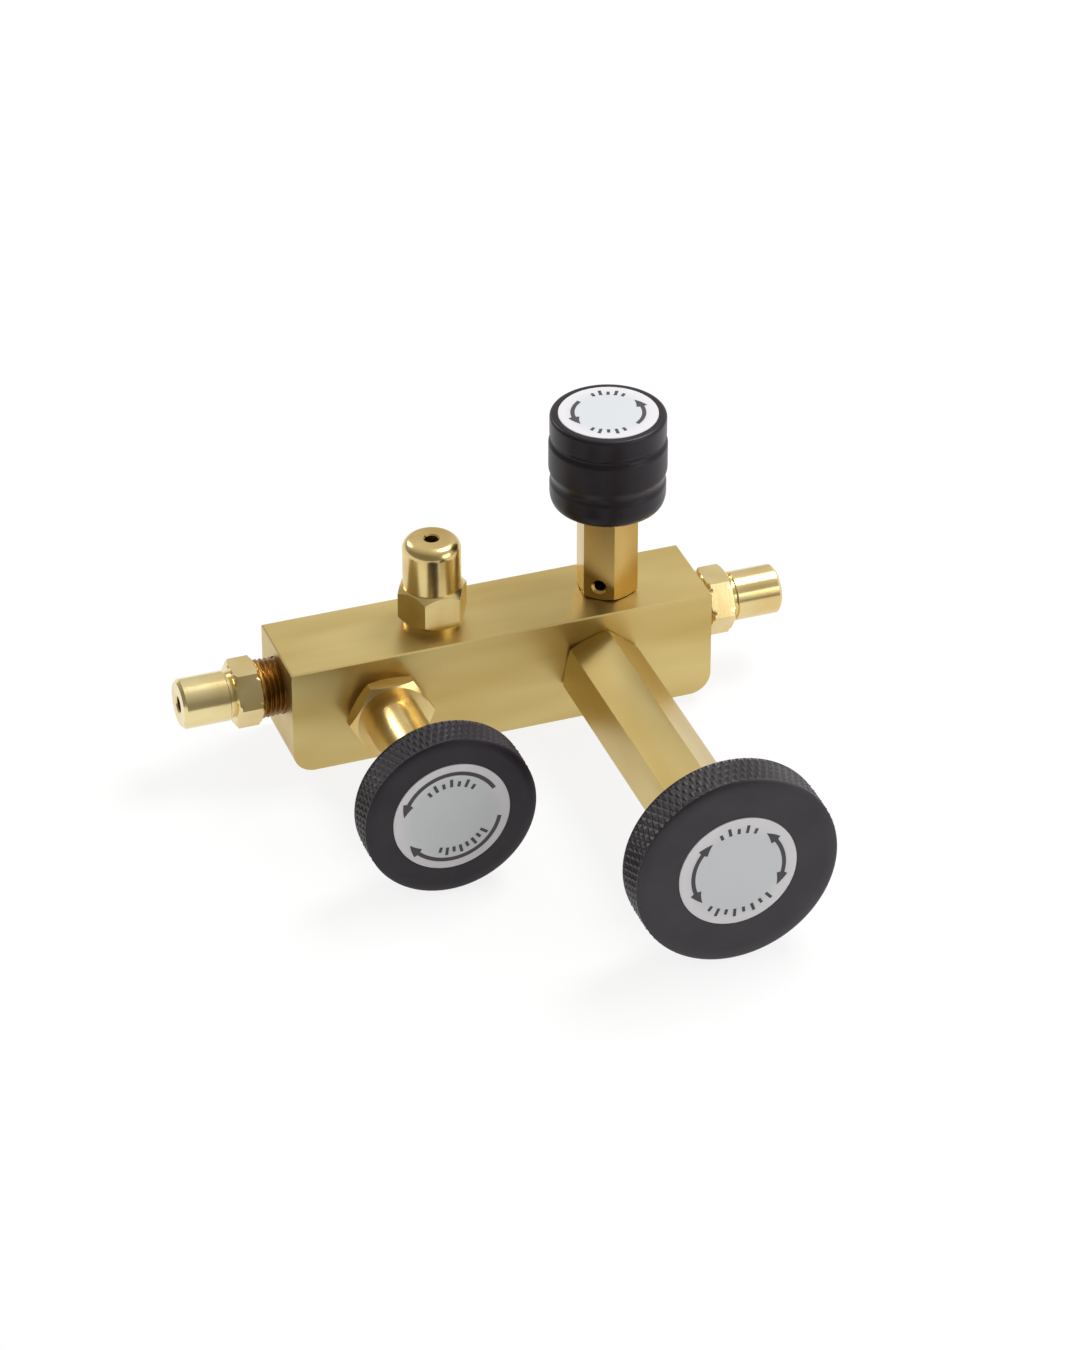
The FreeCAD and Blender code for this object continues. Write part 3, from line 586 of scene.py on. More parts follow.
class MANIFOLD_OT_inner_finish(bpy.types.Operator):
    """Steel, rubber and plastic for the pieces inside the fittings."""
    bl_idname = "manifold.inner_finish"
    bl_label = "Inner pieces"

    def execute(self, context):
        # Turned stainless steel: cool, bright and slightly ringed.
        dress(grained("turned_stainless", linear("#B9BBBD"), linear("#CBCDCE"), 1.0, 0.24,
                      0.5 * MM, 0.15),
              "isolation_spindle", "isolation_plug", "vent_spindle", "vent_plug",
              "adjuster_piston")
        # Black oxide on alloy steel: blue-black with an oiled sheen.
        dress(grained("black_oxide_steel", linear("#1D1F22"), linear("#2B2D30"), 0.8, 0.38,
                      0.6 * MM, 0.2),
              "isolation_set_screw", "vent_set_screw", "adjuster_set_screw",
              "adjuster_retaining_pins")
        # Moulded nitrile rubber: dead black and matt.
        dress(grained("moulded_nitrile_rubber", linear("#141414"), linear("#202020"), 0.0, 0.62,
                      0.8 * MM, 0.3),
              "gauge_port_ring", "isolation_bonnet_ring", "isolation_stem_ring",
              "vent_bonnet_ring", "vent_stem_ring", "adjuster_barrel_ring",
              "adjuster_piston_rings")
        # Turned PTFE: milky white, waxy.
        dress(grained("turned_ptfe", linear("#E6E5DF"), linear("#F0EFEA"), 0.0, 0.45,
                      0.8 * MM, 0.1),
              "isolation_backup_ring", "isolation_seat_disc", "vent_backup_ring",
              "vent_seat_disc", "adjuster_backup_rings")
        return {"FINISHED"}


def port_section(sizes, total):
    """Heights and radii once round an end port's section, from the inner mouth of the bore
    out over the thread, hexagon, groove and stub and back through the bore."""
    thread = sizes.thread_length
    high = thread + sizes.hexagon_length
    relief = high + sizes.relief_length
    tip = sizes.thread_radius - thread * sizes.thread_taper
    # Chamfers at the thread's tip, beside the groove, and at the outer mouth of the bore
    nose, edge, mouth = 1.0 * MM, 0.2 * MM, 0.4 * MM
    # A cone of 30 degrees trims each end, from just inside the flats to just past the corners.
    corner = sizes.hexagon / math.sqrt(3) * 1.002
    flat = 0.96 * sizes.hexagon / 2
    drop = (corner - flat) * math.tan(math.radians(30))
    bore = sizes.bore_radius
    inner = [(0, bore + MOUTH), (0, tip - nose), (nose, tip)]
    body = [(thread, sizes.thread_radius), (thread, flat), (thread + drop, corner),
            (high - drop, corner), (high, flat), (high, sizes.relief_radius),
            (relief, sizes.relief_radius), (relief, sizes.stub_radius - edge),
            (relief + edge, sizes.stub_radius)]
    end = [(total - sizes.stub_chamfer, sizes.stub_radius),
           (total, sizes.stub_radius - sizes.stub_chamfer), (total, bore + mouth),
           (total - mouth, bore), (MOUTH, bore)]
    threaded = run([inner[-1], (thread, sizes.thread_radius)], step=0.13 * MM)
    return np.concatenate([run(inner, step=1 * MM)[:-1], threaded, run(body, step=1 * MM),
                           run(end, step=1.5 * MM)])


class MANIFOLD_OT_end_ports(bpy.types.Operator):
    """The two hexagonal end ports with their tapered threads."""
    bl_idname = "manifold.end_ports"
    bl_label = "End ports"

    def execute(self, context):
        sizes = context.scene.manifold.ports
        look = context.scene.manifold.brass
        section = port_section(sizes, SUPPLY_HIGH.x - SUPPLY_LOW.x)
        heights, radii = section[:, 0], section[:, 1]
        around = circle(144)
        # The outside is what lies well clear of the bore.
        outer = radii > sizes.bore_radius * 1.5
        in_hexagon = outer & (heights > sizes.thread_length - MATCH)
        in_hexagon &= heights < sizes.thread_length + sizes.hexagon_length + MATCH
        reach = np.repeat(radii[:, None], len(around), axis=1)
        bound = hexagon_reach(around, sizes.hexagon)
        reach = np.where(in_hexagon[:, None], np.minimum(reach, bound), reach)
        # The thread fades in over 1.6 mm at its tip and out over 1.2 mm at the hexagon.
        fade = ease(heights / (1.6 * MM)) * ease((sizes.thread_length - heights) / (1.2 * MM))
        on_thread = outer & (heights < sizes.thread_length)
        cut = thread_cut(around, heights, sizes.thread_pitch) * (fade * on_thread)[:, None]
        grid = polar(heights, reach - sizes.thread_depth * cut, around)
        left = placed(grid, (SUPPLY_HIGH.x, 0, (SUPPLY_LOW.z + SUPPLY_HIGH.z) / 2),
                      (0, 0, 1), (0, 1, 0), (-1, 0, 0))
        right = placed(grid, (OUTLET_LOW.x, 0, (OUTLET_LOW.z + OUTLET_HIGH.z) / 2),
                       (0, 0, -1), (0, 1, 0), (1, 0, 0))
        # Bright turned brass: pale gold, with clear highlights along the stub.
        bright = turned_brass("turned_brass_end", look, look.turned, look.turned_dark,
                              look.turned_roughness, ALONG_X)
        # Cut pipe thread: duller than the turned faces beside it, its colour darkened and browned
        # as painted shade of the gap at the bar.
        thread_painted_shade = turned_brass("cut_brass_thread_painted_shade", look, look.thread, look.thread_dark_painted_shade,
                               look.thread_roughness, ALONG_X)
        for name, points in (("supply_port", left), ("outlet_port", right)):
            piece = skin(name + "_threaded", [points], bright, looped=True)
            second_finish(piece, thread_painted_shade, on_thread, len(around))
            fit(piece, "manifold", "turned_brass", name)
        return {"FINISHED"}


def label_pocket(front, settings, label):
    """The first corners of a knob's section: the floor of its label pocket, out to the face."""
    floor = front - settings.pocket_depth
    return [(floor, FAN_RADIUS), (floor, label), (front - POCKET_EDGE, label),
            (front, label + POCKET_EDGE)]


def stem_bore(stem, settings):
    """The last corners of a knob's section: the mouth, wall and floor of the stem's bore."""
    return [(0, stem + MOUTH), (MOUTH, stem), (settings.stem_depth, stem),
            (settings.stem_depth, FAN_RADIUS)]


def label_radius(name, settings):
    """The radius of a knob's label pocket: half the width of the label, and the gap round it."""
    low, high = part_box(name + "_label")
    return (high.x - low.x) / 2 + settings.label_gap


def disc_knob(radius, thickness, hub, settings, label, stem, lines, screw_floor):
    """A grid for a knurled disc knob. The profile runs from the pocket's middle over the face,
    rim, back, hub and into the stem bore. On the rim the reach falls with the deeper of two
    crossed triangular waves, whose turns are lines times angle plus or minus height over lead."""
    back = settings.hub_length
    front = back + thickness
    root = settings.hub_root
    # The rim's chamfer is flatter than 45 degrees: this is its length along the axis.
    chamfer = settings.rim_chamfer
    edge_drop = chamfer * 0.6
    # The plain rim lies two fifths of the knurl's depth under its crests.
    core = radius - settings.knurl_depth * 0.4
    face = run(label_pocket(front, settings, label)
               + [(front, core - chamfer), (front - edge_drop, core)], step=3 * MM)
    rim = run([(front - edge_drop, core), (back + edge_drop, core)], step=0.3 * MM)[1:]
    behind = run([(back + edge_drop, core), (back, core - chamfer), (back, hub + root)],
                 step=3 * MM)[1:]
    hollow = quarter((back - root, hub + root), root, 0, -90)[1:]
    side = run([(back - root, hub), (settings.hub_chamfer, hub)], step=0.2 * MM)[1:]
    bore = run([(settings.hub_chamfer, hub), (0, hub - settings.hub_chamfer)]
               + stem_bore(stem, settings), step=3 * MM)[1:]
    section = np.concatenate([face, rim, behind, hollow, side, bore])
    heights, radii = section[:, 0], section[:, 1]
    # Each diamond has ten columns of points.
    around = circle(lines * 10)
    reach = np.repeat(radii[:, None], len(around), axis=1)
    on_rim = (radii > core - MATCH)[:, None]
    turns = lines * around / (2 * math.pi)
    slant = (heights[:, None] - back) / settings.knurl_lead
    groove = np.maximum(wave(turns + slant), wave(turns - slant))
    # The knurl sets in over 0.8 mm, from half a chamfer inside each face of the knob.
    edge = np.minimum(heights - back, front - heights)[:, None]
    fade = ease((edge - chamfer * 0.5) / (0.8 * MM))
    lift = (radius - core) - settings.knurl_depth * groove
    reach = reach + np.where(on_rim, lift * fade, 0.0)
    # The set screw's hole goes into the hub from below, at angle -90 degrees.
    off_axis = np.mod(around + math.pi / 2 + math.pi, 2 * math.pi) - math.pi
    distance = np.hypot(off_axis * hub, heights[:, None] - settings.hub_length / 2)
    on_hub = (np.abs(radii - hub) < MATCH)[:, None] & (heights[:, None] < back)
    hole = ease((settings.screw_radius - distance) / HOLE_EDGE) * on_hub
    return polar(heights, reach - hole * (hub - screw_floor), around)


class MANIFOLD_OT_disc_knobs(bpy.types.Operator):
    """The two thin black knobs with diamond-knurled rims."""
    bl_idname = "manifold.disc_knobs"
    bl_label = "Disc knobs"

    def execute(self, context):
        settings = context.scene.manifold.knobs
        jobs = (("isolation", ISOLATION_LOW, ISOLATION_HIGH, settings.isolation_hub,
                 settings.valve_stem, settings.isolation_lines, settings.valve_screw,
                 settings.isolation_gloss),
                ("adjuster", ADJUSTER_LOW, ADJUSTER_HIGH, settings.adjuster_hub,
                 settings.screw_stem, settings.adjuster_lines, settings.adjuster_screw,
                 settings.adjuster_gloss))
        for name, low, high, hub, stem, lines, screw_floor, gloss in jobs:
            centre = [(low.x + high.x) / 2, 0, (low.z + high.z) / 2]
            material = black_anodised("black_anodised_" + name, settings, gloss, centre, ALONG_Y)
            thickness = high.y - low.y - settings.hub_length
            grid = disc_knob((high.x - low.x) / 2, thickness, hub, settings,
                             label_radius(name, settings), stem, lines, screw_floor)
            grid[..., 2] += BAR_LOW.y - high.y
            piece = skin(name + "_knob_knurled", [on_front(grid, low, high)], material)
            fit(piece, name + "_screw_group", "knob_black", name + "_knob")
        return {"FINISHED"}


def tall_knob_side(total, radius, shape):
    """Heights and radii down the side of the vent knob: the cap's radius, plus the body's
    swell below it, less the narrowing to the foot, the two hollows, and a quarter of an
    ellipse at the foot."""
    cap = radius - shape.inset
    # Below this height the rows are closer, for the foot and the screw hole.
    finer = 7.2 * MM
    height = np.concatenate([np.linspace(total - shape.rounding, finer, 90)[1:],
                             np.linspace(finer, 0.0, 60)[1:]])
    body = cap + shape.inset * ease((total - shape.cap - height) / shape.swell)
    body -= shape.inset * ease((shape.taper - height) / shape.taper_length)
    body -= shape.groove_depth * dip(height, total - shape.groove, shape.groove_reach)
    body -= shape.waist_depth * dip(height, shape.waist, shape.waist_reach)
    rise = np.clip(1 - height / shape.foot, 0, 1)
    body -= shape.foot_round * (1 - np.sqrt(1 - rise ** 2))
    return np.stack([height, body], axis=1)


class MANIFOLD_OT_vent_knob(bpy.types.Operator):
    """The tall round black knob with a cap groove and a waist."""
    bl_idname = "manifold.vent_knob"
    bl_label = "Vent knob"

    def execute(self, context):
        settings = context.scene.manifold.knobs
        shape = context.scene.manifold.vent_knob
        total = VENT_HIGH.z - VENT_LOW.z
        radius = (VENT_HIGH.x - VENT_LOW.x) / 2
        cap, rounding = radius - shape.inset, shape.rounding
        top = run(label_pocket(total, settings, label_radius("vent", settings))
                  + [(total, cap - rounding)], step=2 * MM)
        shoulder = quarter((total - rounding, cap - rounding), rounding, 0, 90)[1:]
        side = tall_knob_side(total, radius, shape)
        bore = run([tuple(side[-1])] + stem_bore(settings.valve_stem, settings),
                   step=2 * MM)[1:]
        section = np.concatenate([top, shoulder, side, bore])
        heights, radii = section[:, 0], section[:, 1]
        # Angles are closer round the set screw's hole at the back, at 90 degrees.
        close = math.pi / 2 + np.linspace(-0.16, 0.16, 49)
        around = np.unique(np.round(np.concatenate([circle(160), close]), 6))
        distance = np.hypot((around - math.pi / 2) * radius,
                            heights[:, None] - shape.screw_height)
        # Only the outer wall takes the hole: near the cap's radius, and below 8 mm.
        outside = (radii > cap - 2.2 * MM)[:, None] & (heights[:, None] < 8 * MM)
        hole = ease((settings.screw_radius - distance) / HOLE_EDGE) * outside
        reach = radii[:, None] - hole * (radii[:, None] - settings.valve_screw)
        grid = polar(heights, reach, around)
        grid[..., 2] += VENT_LOW.z - BAR_HIGH.z
        centre = [(VENT_LOW.x + VENT_HIGH.x) / 2, 0, 0]
        material = black_anodised("black_anodised_vent", settings, settings.vent_gloss, centre,
                                  ALONG_Z)
        piece = skin("vent_knob_turned", [on_top(grid, VENT_LOW, VENT_HIGH)], material, crease=40)
        fit(piece, "vent_screw_group", "knob_black", "vent_knob")
        return {"FINISHED"}


def plate(radius, thickness):
    """A grid for a thin round plate with a soft edge, from the middle of one face to the other."""
    soft = 0.12 * MM
    inner = radius * 0.2
    section = run([(0, inner), (0, radius - soft), (soft, radius), (thickness - soft, radius),
                   (thickness, radius - soft), (thickness, inner)], step=3 * MM)
    return polar(section[:, 0], section[:, 1][:, None], circle(96))


def ribbon(middle, across, half_width, thickness):
    """A grid for a flat printed stroke: at each point of its middle line the four corners are
    the point plus or minus half the width across, at the bottom and at the top."""
    sides = np.array([-1, 1, 1, -1])[None, :, None]
    lift = np.array([0, 0, 1, 1])[None, :, None] * thickness * np.array([0, 0, 1])
    return middle[:, None] + across[:, None] * half_width[:, None, None] * sides + lift


def arc_stroke(radius, start, end, settings, head_at_start, head_at_end):
    """A printed arc, with an arrowhead at an end where one is wanted. Its half width is the
    stroke's, and over an arrowhead it falls from the head's half width to nothing at the tip."""
    span = abs(end - start)
    head = settings.arrow_length / radius
    along = np.concatenate([np.linspace(0, head, 14), np.linspace(head, span - head, 60)[1:-1],
                            np.linspace(span - head, span, 14)])
    width = np.full(len(along), settings.stroke / 2)
    barb = settings.arrow_width / 2
    # A head stops just short of its base, so that the barb steps out from the stroke.
    base = head * 0.999
    if head_at_start:
        width = np.where(along < base, barb * along / head, width)
    if head_at_end:
        width = np.where(along > span - base, barb * (span - along) / head, width)
    turn = start + np.sign(end - start) * along
    outward = np.stack([np.cos(turn), np.sin(turn), np.zeros(len(turn))], axis=1)
    return ribbon(outward * radius, outward, np.maximum(width, ARROW_TIP),
                  settings.ink_thickness)


def tick_stroke(radius, reach, turn, settings):
    """A printed radial tick: a straight stroke of constant width from the radius outward."""
    outward = np.array([math.cos(turn), math.sin(turn), 0.0])
    sideways = np.array([[-math.sin(turn), math.cos(turn), 0.0]])
    middle = outward * (radius + reach * np.linspace(0, 1, 3))[:, None]
    return ribbon(middle, np.repeat(sideways, 3, axis=0), np.full(3, settings.tick / 2),
                  settings.ink_thickness)


class MANIFOLD_OT_labels(bpy.types.Operator):
    """The round label plates with printed arrows and plain ticks."""
    bl_idname = "manifold.labels"
    bl_label = "Labels"

    def marks(self, radius, arcs, ticks, settings):
        """The grids of one label's arcs and ticks, with angles from the label's right."""
        grids = [arc_stroke(radius * place, math.radians(start), math.radians(end), settings,
                            first, last) for place, start, end, first, last in arcs]
        reaches = (settings.short_tick, settings.long_tick)
        for place, start, end, count in ticks:
            turns = np.radians(np.linspace(start, end, count))
            grids += [tick_stroke(radius * place, reaches[step % 2], turn, settings)
                      for step, turn in enumerate(turns)]
        return grids

    def execute(self, context):
        settings = context.scene.manifold.labels
        # Screen-printed enamel ink: dark grey and slightly raised.
        ink = grained("screen_printed_ink", settings.ink, settings.ink_thin, 0.0, 0.5,
                      0.5 * MM, 0.1)
        # An arc is its share of the label's radius, its start and end in degrees, and whether
        # it has an arrowhead at each. A row of ticks is its share of the radius, its first and
        # last angle in degrees, and how many there are.
        jobs = (
            ("isolation", ISOLATION_LOW, ISOLATION_HIGH, on_front, 0.0,
             ((0.83, 29, 169, False, True), (0.83, -11, -151, False, True)),
             ((0.58, 126, 54, 7), (0.60, -108, -36, 8))),
            ("adjuster", ADJUSTER_LOW, ADJUSTER_HIGH, on_front, 0.0,
             ((0.76, 125, 218, True, True), (0.78, 53, -32, True, True)),
             ((0.72, 112, 68, 5), (0.72, -127, -48, 8))),
            ("vent", VENT_LOW, VENT_HIGH, on_top, settings.vent_turn,
             ((0.71, 144, 219, False, True), (0.71, -37, 43, False, True)),
             ((0.68, 114, 66, 5), (0.66, -116, -64, 5))))
        for name, low, high, carry, turn, arcs, ticks in jobs:
            box_low, box_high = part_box(name + "_label")
            radius = (box_high.x - box_low.x) / 2
            front = carry is on_front
            under = BAR_LOW.y - box_high.y if front else box_low.z - BAR_HIGH.z
            # Satin label stock: pale silver, fine grain, no clear reflection.
            silver = label_stock("satin_label_stock_" + name, settings, (box_low + box_high) / 2,
                                 ALONG_Y if front else ALONG_Z, radius)
            grid = plate(radius, settings.plate_thickness)
            grid[..., 2] += under
            body = name + "_screw_group"
            fit(skin(name + "_label_plate", [carry(grid, low, high)], silver), body,
                "label_silver", name + "_label")
            cosine, sine = math.cos(turn), math.sin(turn)
            spin = np.array([[cosine, sine, 0], [-sine, cosine, 0], [0, 0, 1]])
            rise = np.array([0, 0, under + settings.plate_thickness])
            strokes = [carry(stroke @ spin + rise, low, high)
                       for stroke in self.marks(radius, arcs, ticks, settings)]
            fit(skin(name + "_label_print", strokes, ink), body, "label_silver")
        return {"FINISHED"}


class MANIFOLD_OT_lead_screw(bpy.types.Operator):
    """The threaded lead screw of the fine adjust."""
    bl_idname = "manifold.lead_screw"
    bl_label = "Lead screw"

    def execute(self, context):
        sizes = context.scene.manifold.screw
        total = SCREW_HIGH.y - SCREW_LOW.y
        head, neck = sizes.head_length, sizes.head_length + sizes.neck_length
        stem = total - sizes.stem_length
        soft = 0.3 * MM
        lead = 0.7 * MM
        start = run([(0, FAN_RADIUS), (0, sizes.head_radius - soft), (soft, sizes.head_radius),
                     (head, sizes.head_radius), (head, sizes.neck_radius),
                     (neck, sizes.neck_radius), (neck, sizes.thread_radius - lead),
                     (neck + lead, sizes.thread_radius)], step=2 * MM)
        thread = run([start[-1], (stem, sizes.thread_radius)], step=0.16 * MM)[1:]
        end = run([(stem, sizes.stem_radius), (total - soft, sizes.stem_radius),
                   (total, sizes.stem_radius - soft), (total, FAN_RADIUS)], step=2 * MM)
        section = np.concatenate([start, thread, end])
        heights, radii = section[:, 0], section[:, 1]
        around = circle(60)
        # The thread fades in over 1.2 mm behind the neck and runs up to the stem.
        fade = ease((heights - neck) / (1.2 * MM)) * (heights < stem)
        cut = thread_cut(around, heights, sizes.thread_pitch) * fade[:, None]
        reach = radii[:, None] - sizes.thread_depth * cut
        # The flat on the stem faces down: its reach is its distance over minus the sine, which
        # is held at 0.05 elsewhere, where the flat lies far outside the stem.
        flat = sizes.stem_radius - sizes.flat_depth
        milled = np.minimum(reach, flat / np.maximum(-np.sin(around), 0.05))
        reach = np.where((heights > stem - MATCH)[:, None], milled, reach)
        grid = polar(heights, reach, around)
        grid[..., 2] += BAR_LOW.y - SCREW_HIGH.y
        # Rolled stainless thread: cool bright crests over darker flanks.
        steel = grained("rolled_stainless_thread", linear("#AEB0B2"), linear("#C6C8CA"), 1.0,
                        0.22, 0.5 * MM, 0.1)
        piece = skin("adjuster_screw_threaded", [on_front(grid, SCREW_LOW, SCREW_HIGH)], steel)
        fit(piece, "adjuster_screw_group", "stem_steel", "adjuster_screw")
        return {"FINISHED"}


# What the manifold rests on: the rounded lower end of the bar starts this far in, and the rear
# edge of a disc knob's rim lies this far in front of the end of its hub
BAR_END_ROUND = 6.35 * MM
RIM_SETBACK = 5.9 * MM
# Gap between the floor and the points that it touches, and half the floor's width in metres
FLOOR_GAP = 0.1 * MM
FLOOR_REACH = 4.0
# The way in which the studio brightens, right, behind and up, and where the lamps aim, in metres
BRIGHT_WAY = (0.5, 0.45, 0.74)
LAMP_TARGET = (0.0, -0.04, 0.03)


def rest_plane():
    """The table under the manifold: the plane through the bar's rear right lower corner and the
    rear lower edges of both disc knobs, as height = rise + x slope times x + y slope times y."""
    touch = np.array([
        (BAR_HIGH.x - BAR_END_ROUND, BAR_HIGH.y, BAR_LOW.z),
        ((ISOLATION_LOW.x + ISOLATION_HIGH.x) / 2, ISOLATION_HIGH.y - RIM_SETBACK,
         ISOLATION_LOW.z),
        ((ADJUSTER_LOW.x + ADJUSTER_HIGH.x) / 2, ADJUSTER_HIGH.y - RIM_SETBACK,
         ADJUSTER_LOW.z)])
    plane = np.linalg.solve(np.column_stack([np.ones(3), touch[:, :2]]), touch[:, 2])
    return plane - np.array([FLOOR_GAP, 0, 0])


class MANIFOLD_OT_stage(bpy.types.Operator):
    """The pale floor, soft lamps and camera."""
    bl_idname = "manifold.stage"
    bl_label = "Stage"

    def floor(self, settings):
        """A flat sheet: height = rise + x slope times x + y slope times y."""
        rise, x_slope, y_slope = rest_plane()
        side = np.linspace(-FLOOR_REACH, FLOOR_REACH, 9)
        x, y = np.meshgrid(side, side, indexing="ij")
        points = np.stack([x, y, rise + x_slope * x + y_slope * y], axis=-1).reshape(-1, 3)
        index = np.arange(x.size).reshape(x.shape)
        faces = np.stack([index[:-1, :-1], index[1:, :-1], index[1:, 1:], index[:-1, 1:]],
                         axis=-1).reshape(-1, 4)
        mesh = bpy.data.meshes.new("floor")
        mesh.from_pydata(points.tolist(), [], faces.tolist())
        sheet = bpy.data.objects.new("floor", mesh)
        bpy.context.scene.collection.objects.link(sheet)
        mesh.materials.append(self.paper(settings))

    def paper(self, settings):
        """Matt white photographic paper: the camera, mirrors and glass see most of its own
        white, and the rest takes the lamps and the shadows."""
        material, tree = new_material("matt_photo_paper")
        path = add(tree, "ShaderNodeLightPath")
        place = add(tree, "ShaderNodeTexCoord").outputs["Object"]
        # Fibres are 2 mm apart, and the paper between them is 1.5 percent darker.
        fibre = add(tree, "ShaderNodeTexNoise", {"Scale": 1 / (2 * MM), "Detail": 2.0},
                    {"Vector": place})
        faint = [value * 0.985 for value in settings.paper[:3]] + [1.0]
        tone = add(tree, "ShaderNodeValToRGB", links={"Fac": fibre.outputs["Fac"]},
                   stops=((0.3, faint), (0.7, settings.paper)))
        matt = add(tree, "ShaderNodeBsdfDiffuse", links={"Color": tone.outputs["Color"]})
        white = add(tree, "ShaderNodeEmission", {"Color": (1, 1, 1, 1), "Strength": 1.0})
        seen = path.outputs["Is Camera Ray"]
        for ray in ("Is Glossy Ray", "Is Transmission Ray"):
            larger = add(tree, "ShaderNodeMath", links={0: seen, 1: path.outputs[ray]},
                         operation="MAXIMUM")
            seen = larger.outputs["Value"]
        glow = add(tree, "ShaderNodeMath", {1: settings.paper_glow}, {0: seen},
                   operation="MULTIPLY")
        mixed = add(tree, "ShaderNodeMixShader", links={0: glow.outputs["Value"],
                                                        1: matt.outputs["BSDF"],
                                                        2: white.outputs["Emission"]})
        add(tree, "ShaderNodeOutputMaterial", links={"Surface": mixed.outputs["Shader"]})
        return material

    def world(self, settings):
        """The studio, dim to bright by the share of a direction along a leaning axis: bright
        above, on the right and behind. The camera itself sees it white."""
        world = bpy.data.worlds.new("studio")
        bpy.context.scene.world = world
        world.use_nodes = True
        tree = world.node_tree
        tree.nodes.clear()
        place = add(tree, "ShaderNodeTexCoord")
        lean = add(tree, "ShaderNodeVectorMath", {1: BRIGHT_WAY},
                   {0: place.outputs["Generated"]}, operation="DOT_PRODUCT")
        tone = add(tree, "ShaderNodeValToRGB", links={"Fac": lean.outputs["Value"]},
                   stops=((0.0, settings.dim_side), (0.9, settings.bright_side)))
        room = add(tree, "ShaderNodeBackground", {"Strength": 1.0},
                   {"Color": tone.outputs["Color"]})
        white = add(tree, "ShaderNodeBackground", {"Color": (1, 1, 1, 1), "Strength": 1.0})
        path = add(tree, "ShaderNodeLightPath")
        mixed = add(tree, "ShaderNodeMixShader", links={0: path.outputs["Is Camera Ray"],
                                                        1: room.outputs["Background"],
                                                        2: white.outputs["Background"]})
        add(tree, "ShaderNodeOutputWorld", links={"Surface": mixed.outputs["Shader"]})

    def lamp(self, name, power, size, place):
        """A square soft lamp at a place, aimed at the middle of the manifold."""
        data = bpy.data.lights.new(name, "AREA")
        data.shape = "SQUARE"
        data.size = size
        data.energy = power
        softbox = bpy.data.objects.new(name, data)
        softbox.matrix_world = aim(place, LAMP_TARGET)
        bpy.context.scene.collection.objects.link(softbox)

    def execute(self, context):
        settings = context.scene.manifold.stage
        self.floor(settings)
        self.world(settings)
        # Each lamp's width and place are in metres.
        self.lamp("key_softbox", settings.key_power, 0.45, (0.56, 0.10, 1.10))
        self.lamp("rim_softbox", settings.rim_power, 0.35, (-0.50, 1.05, 0.78))
        self.lamp("fill_softbox", settings.fill_power, 0.5, (0.62, -0.72, 0.34))
        data = bpy.data.cameras.new("photo_camera")
        data.lens = settings.focal_length
        data.sensor_fit = "HORIZONTAL"
        data.sensor_width = 36.0
        data.clip_end = 20.0
        camera = bpy.data.objects.new("photo_camera", data)
        camera.matrix_world = camera_place()
        context.scene.collection.objects.link(camera)
        context.scene.camera = camera
        context.scene.view_settings.view_transform = "Standard"
        return {"FINISHED"}


def matrix(right, up, back, place):
    """A 4 by 4 placement from three axes and a place."""
    columns = np.eye(4)
    columns[:3, 0], columns[:3, 1], columns[:3, 2], columns[:3, 3] = right, up, back, place
    return Matrix(columns.tolist())


def aim(place, target):
    """A matrix at a place whose -Z looks at a target, with Y as near upright as can be."""
    place, target = np.asarray(place, float), np.asarray(target, float)
    back = (place - target) / np.linalg.norm(place - target)
    right = np.cross((0.0, 0.0, 1.0), back)
    right /= np.linalg.norm(right)
    return matrix(right, np.cross(back, right), back, place)


# The photograph's viewpoint, fitted to the bar's edges: turn about the upright, tilt down,
# distance, and how far the camera stands right of and above the line to the origin
CAMERA_TURN = math.radians(-19.819)
CAMERA_TILT = math.radians(33.506)
CAMERA_DISTANCE = 1509.7 * MM
CAMERA_RIGHT = 15.016 * MM
CAMERA_UP = 8.823 * MM


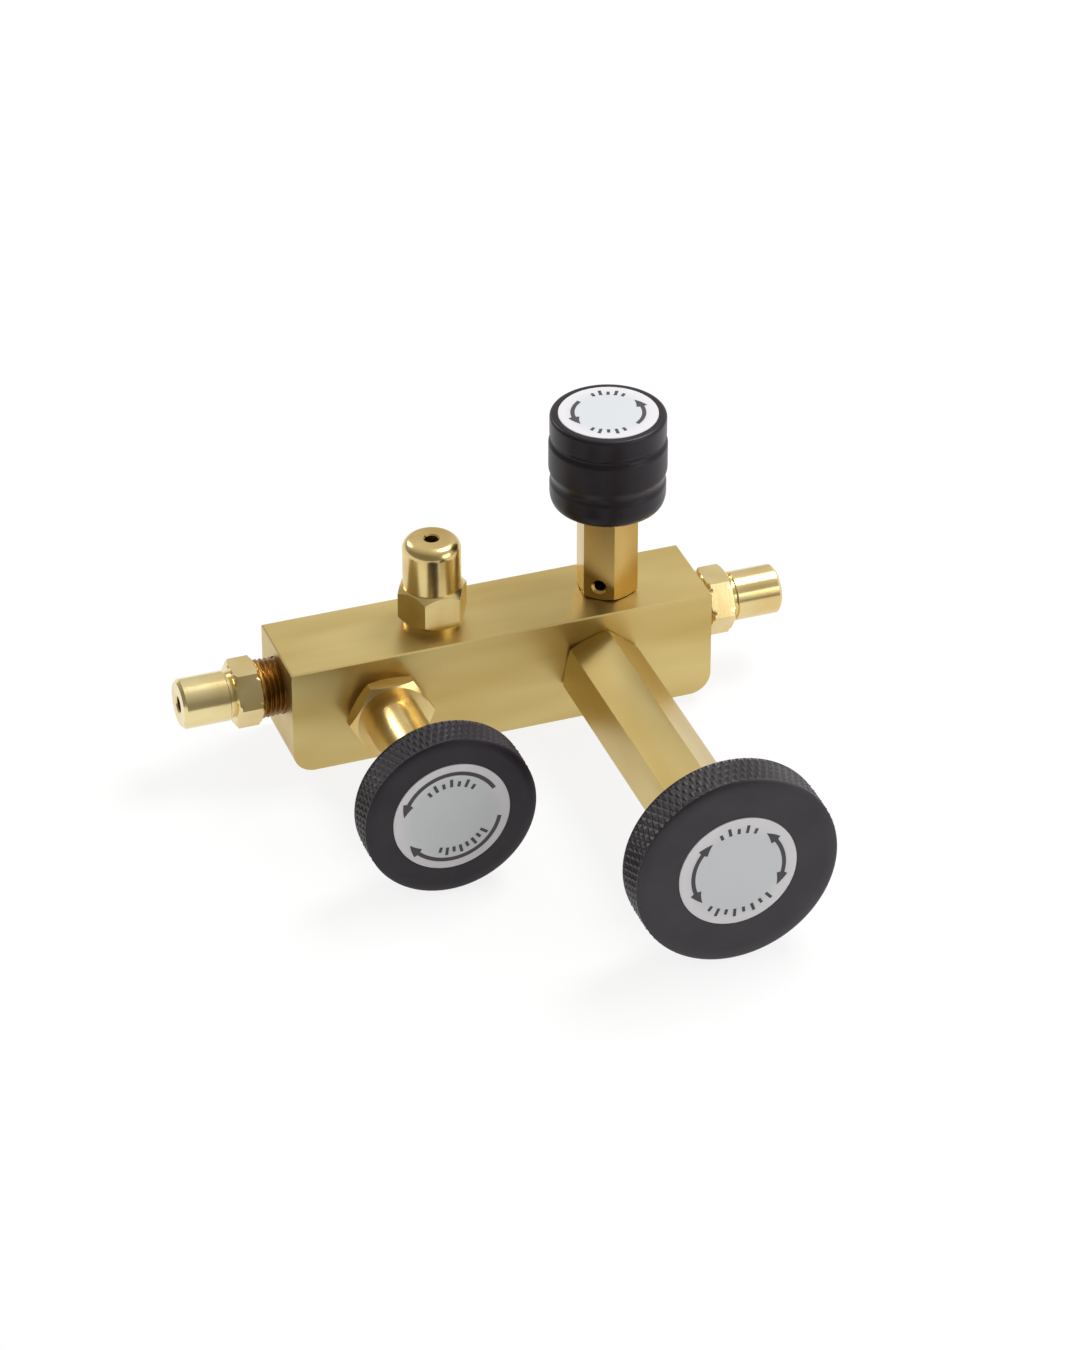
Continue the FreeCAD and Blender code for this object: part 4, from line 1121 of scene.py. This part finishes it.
def camera_place():
    """The camera's matrix: its axes follow from turn and tilt, and its place from the axes."""
    right = np.array([math.cos(CAMERA_TURN), math.sin(CAMERA_TURN), 0.0])
    back = np.array([math.sin(CAMERA_TURN) * math.cos(CAMERA_TILT),
                     -math.cos(CAMERA_TURN) * math.cos(CAMERA_TILT), math.sin(CAMERA_TILT)])
    up = np.cross(back, right)
    place = CAMERA_RIGHT * right + CAMERA_UP * up + CAMERA_DISTANCE * back
    return matrix(right, up, back, place)


OPERATORS = (MANIFOLD_OT_bar_finish, MANIFOLD_OT_turned_finish, MANIFOLD_OT_inner_finish,
             MANIFOLD_OT_end_ports, MANIFOLD_OT_disc_knobs, MANIFOLD_OT_vent_knob,
             MANIFOLD_OT_labels, MANIFOLD_OT_lead_screw, MANIFOLD_OT_stage)


class MANIFOLD_PT_pieces(bpy.types.Panel):
    """Lists the operators that make the pieces."""
    bl_label = "Pressure test manifold"
    bl_idname = "MANIFOLD_PT_pieces"
    bl_space_type = "VIEW_3D"
    bl_region_type = "UI"
    bl_category = "Manifold"

    def draw(self, context):
        for operator in OPERATORS:
            self.layout.operator(operator.bl_idname)


CLASSES = (BrassSettings, PortSettings, KnobSettings, VentKnobSettings, LabelSettings,
           ScrewSettings, StageSettings, ManifoldSettings) + OPERATORS + (MANIFOLD_PT_pieces,)


def register():
    """Makes the classes known to Blender, and gives each scene the manifold's settings."""
    for entry in CLASSES:
        bpy.utils.register_class(entry)
    bpy.types.Scene.manifold = bpy.props.PointerProperty(type=ManifoldSettings)


def unregister():
    """Takes the settings and the classes out again."""
    del bpy.types.Scene.manifold
    for entry in reversed(CLASSES):
        bpy.utils.unregister_class(entry)


def main():
    """Makes every piece and the stage in order."""
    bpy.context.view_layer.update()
    register()
    bpy.ops.manifold.bar_finish()
    bpy.ops.manifold.turned_finish()
    bpy.ops.manifold.inner_finish()
    bpy.ops.manifold.end_ports()
    bpy.ops.manifold.disc_knobs()
    bpy.ops.manifold.vent_knob()
    bpy.ops.manifold.labels()
    bpy.ops.manifold.lead_screw()
    bpy.ops.manifold.stage()


if __name__ == "__main__":
    main()
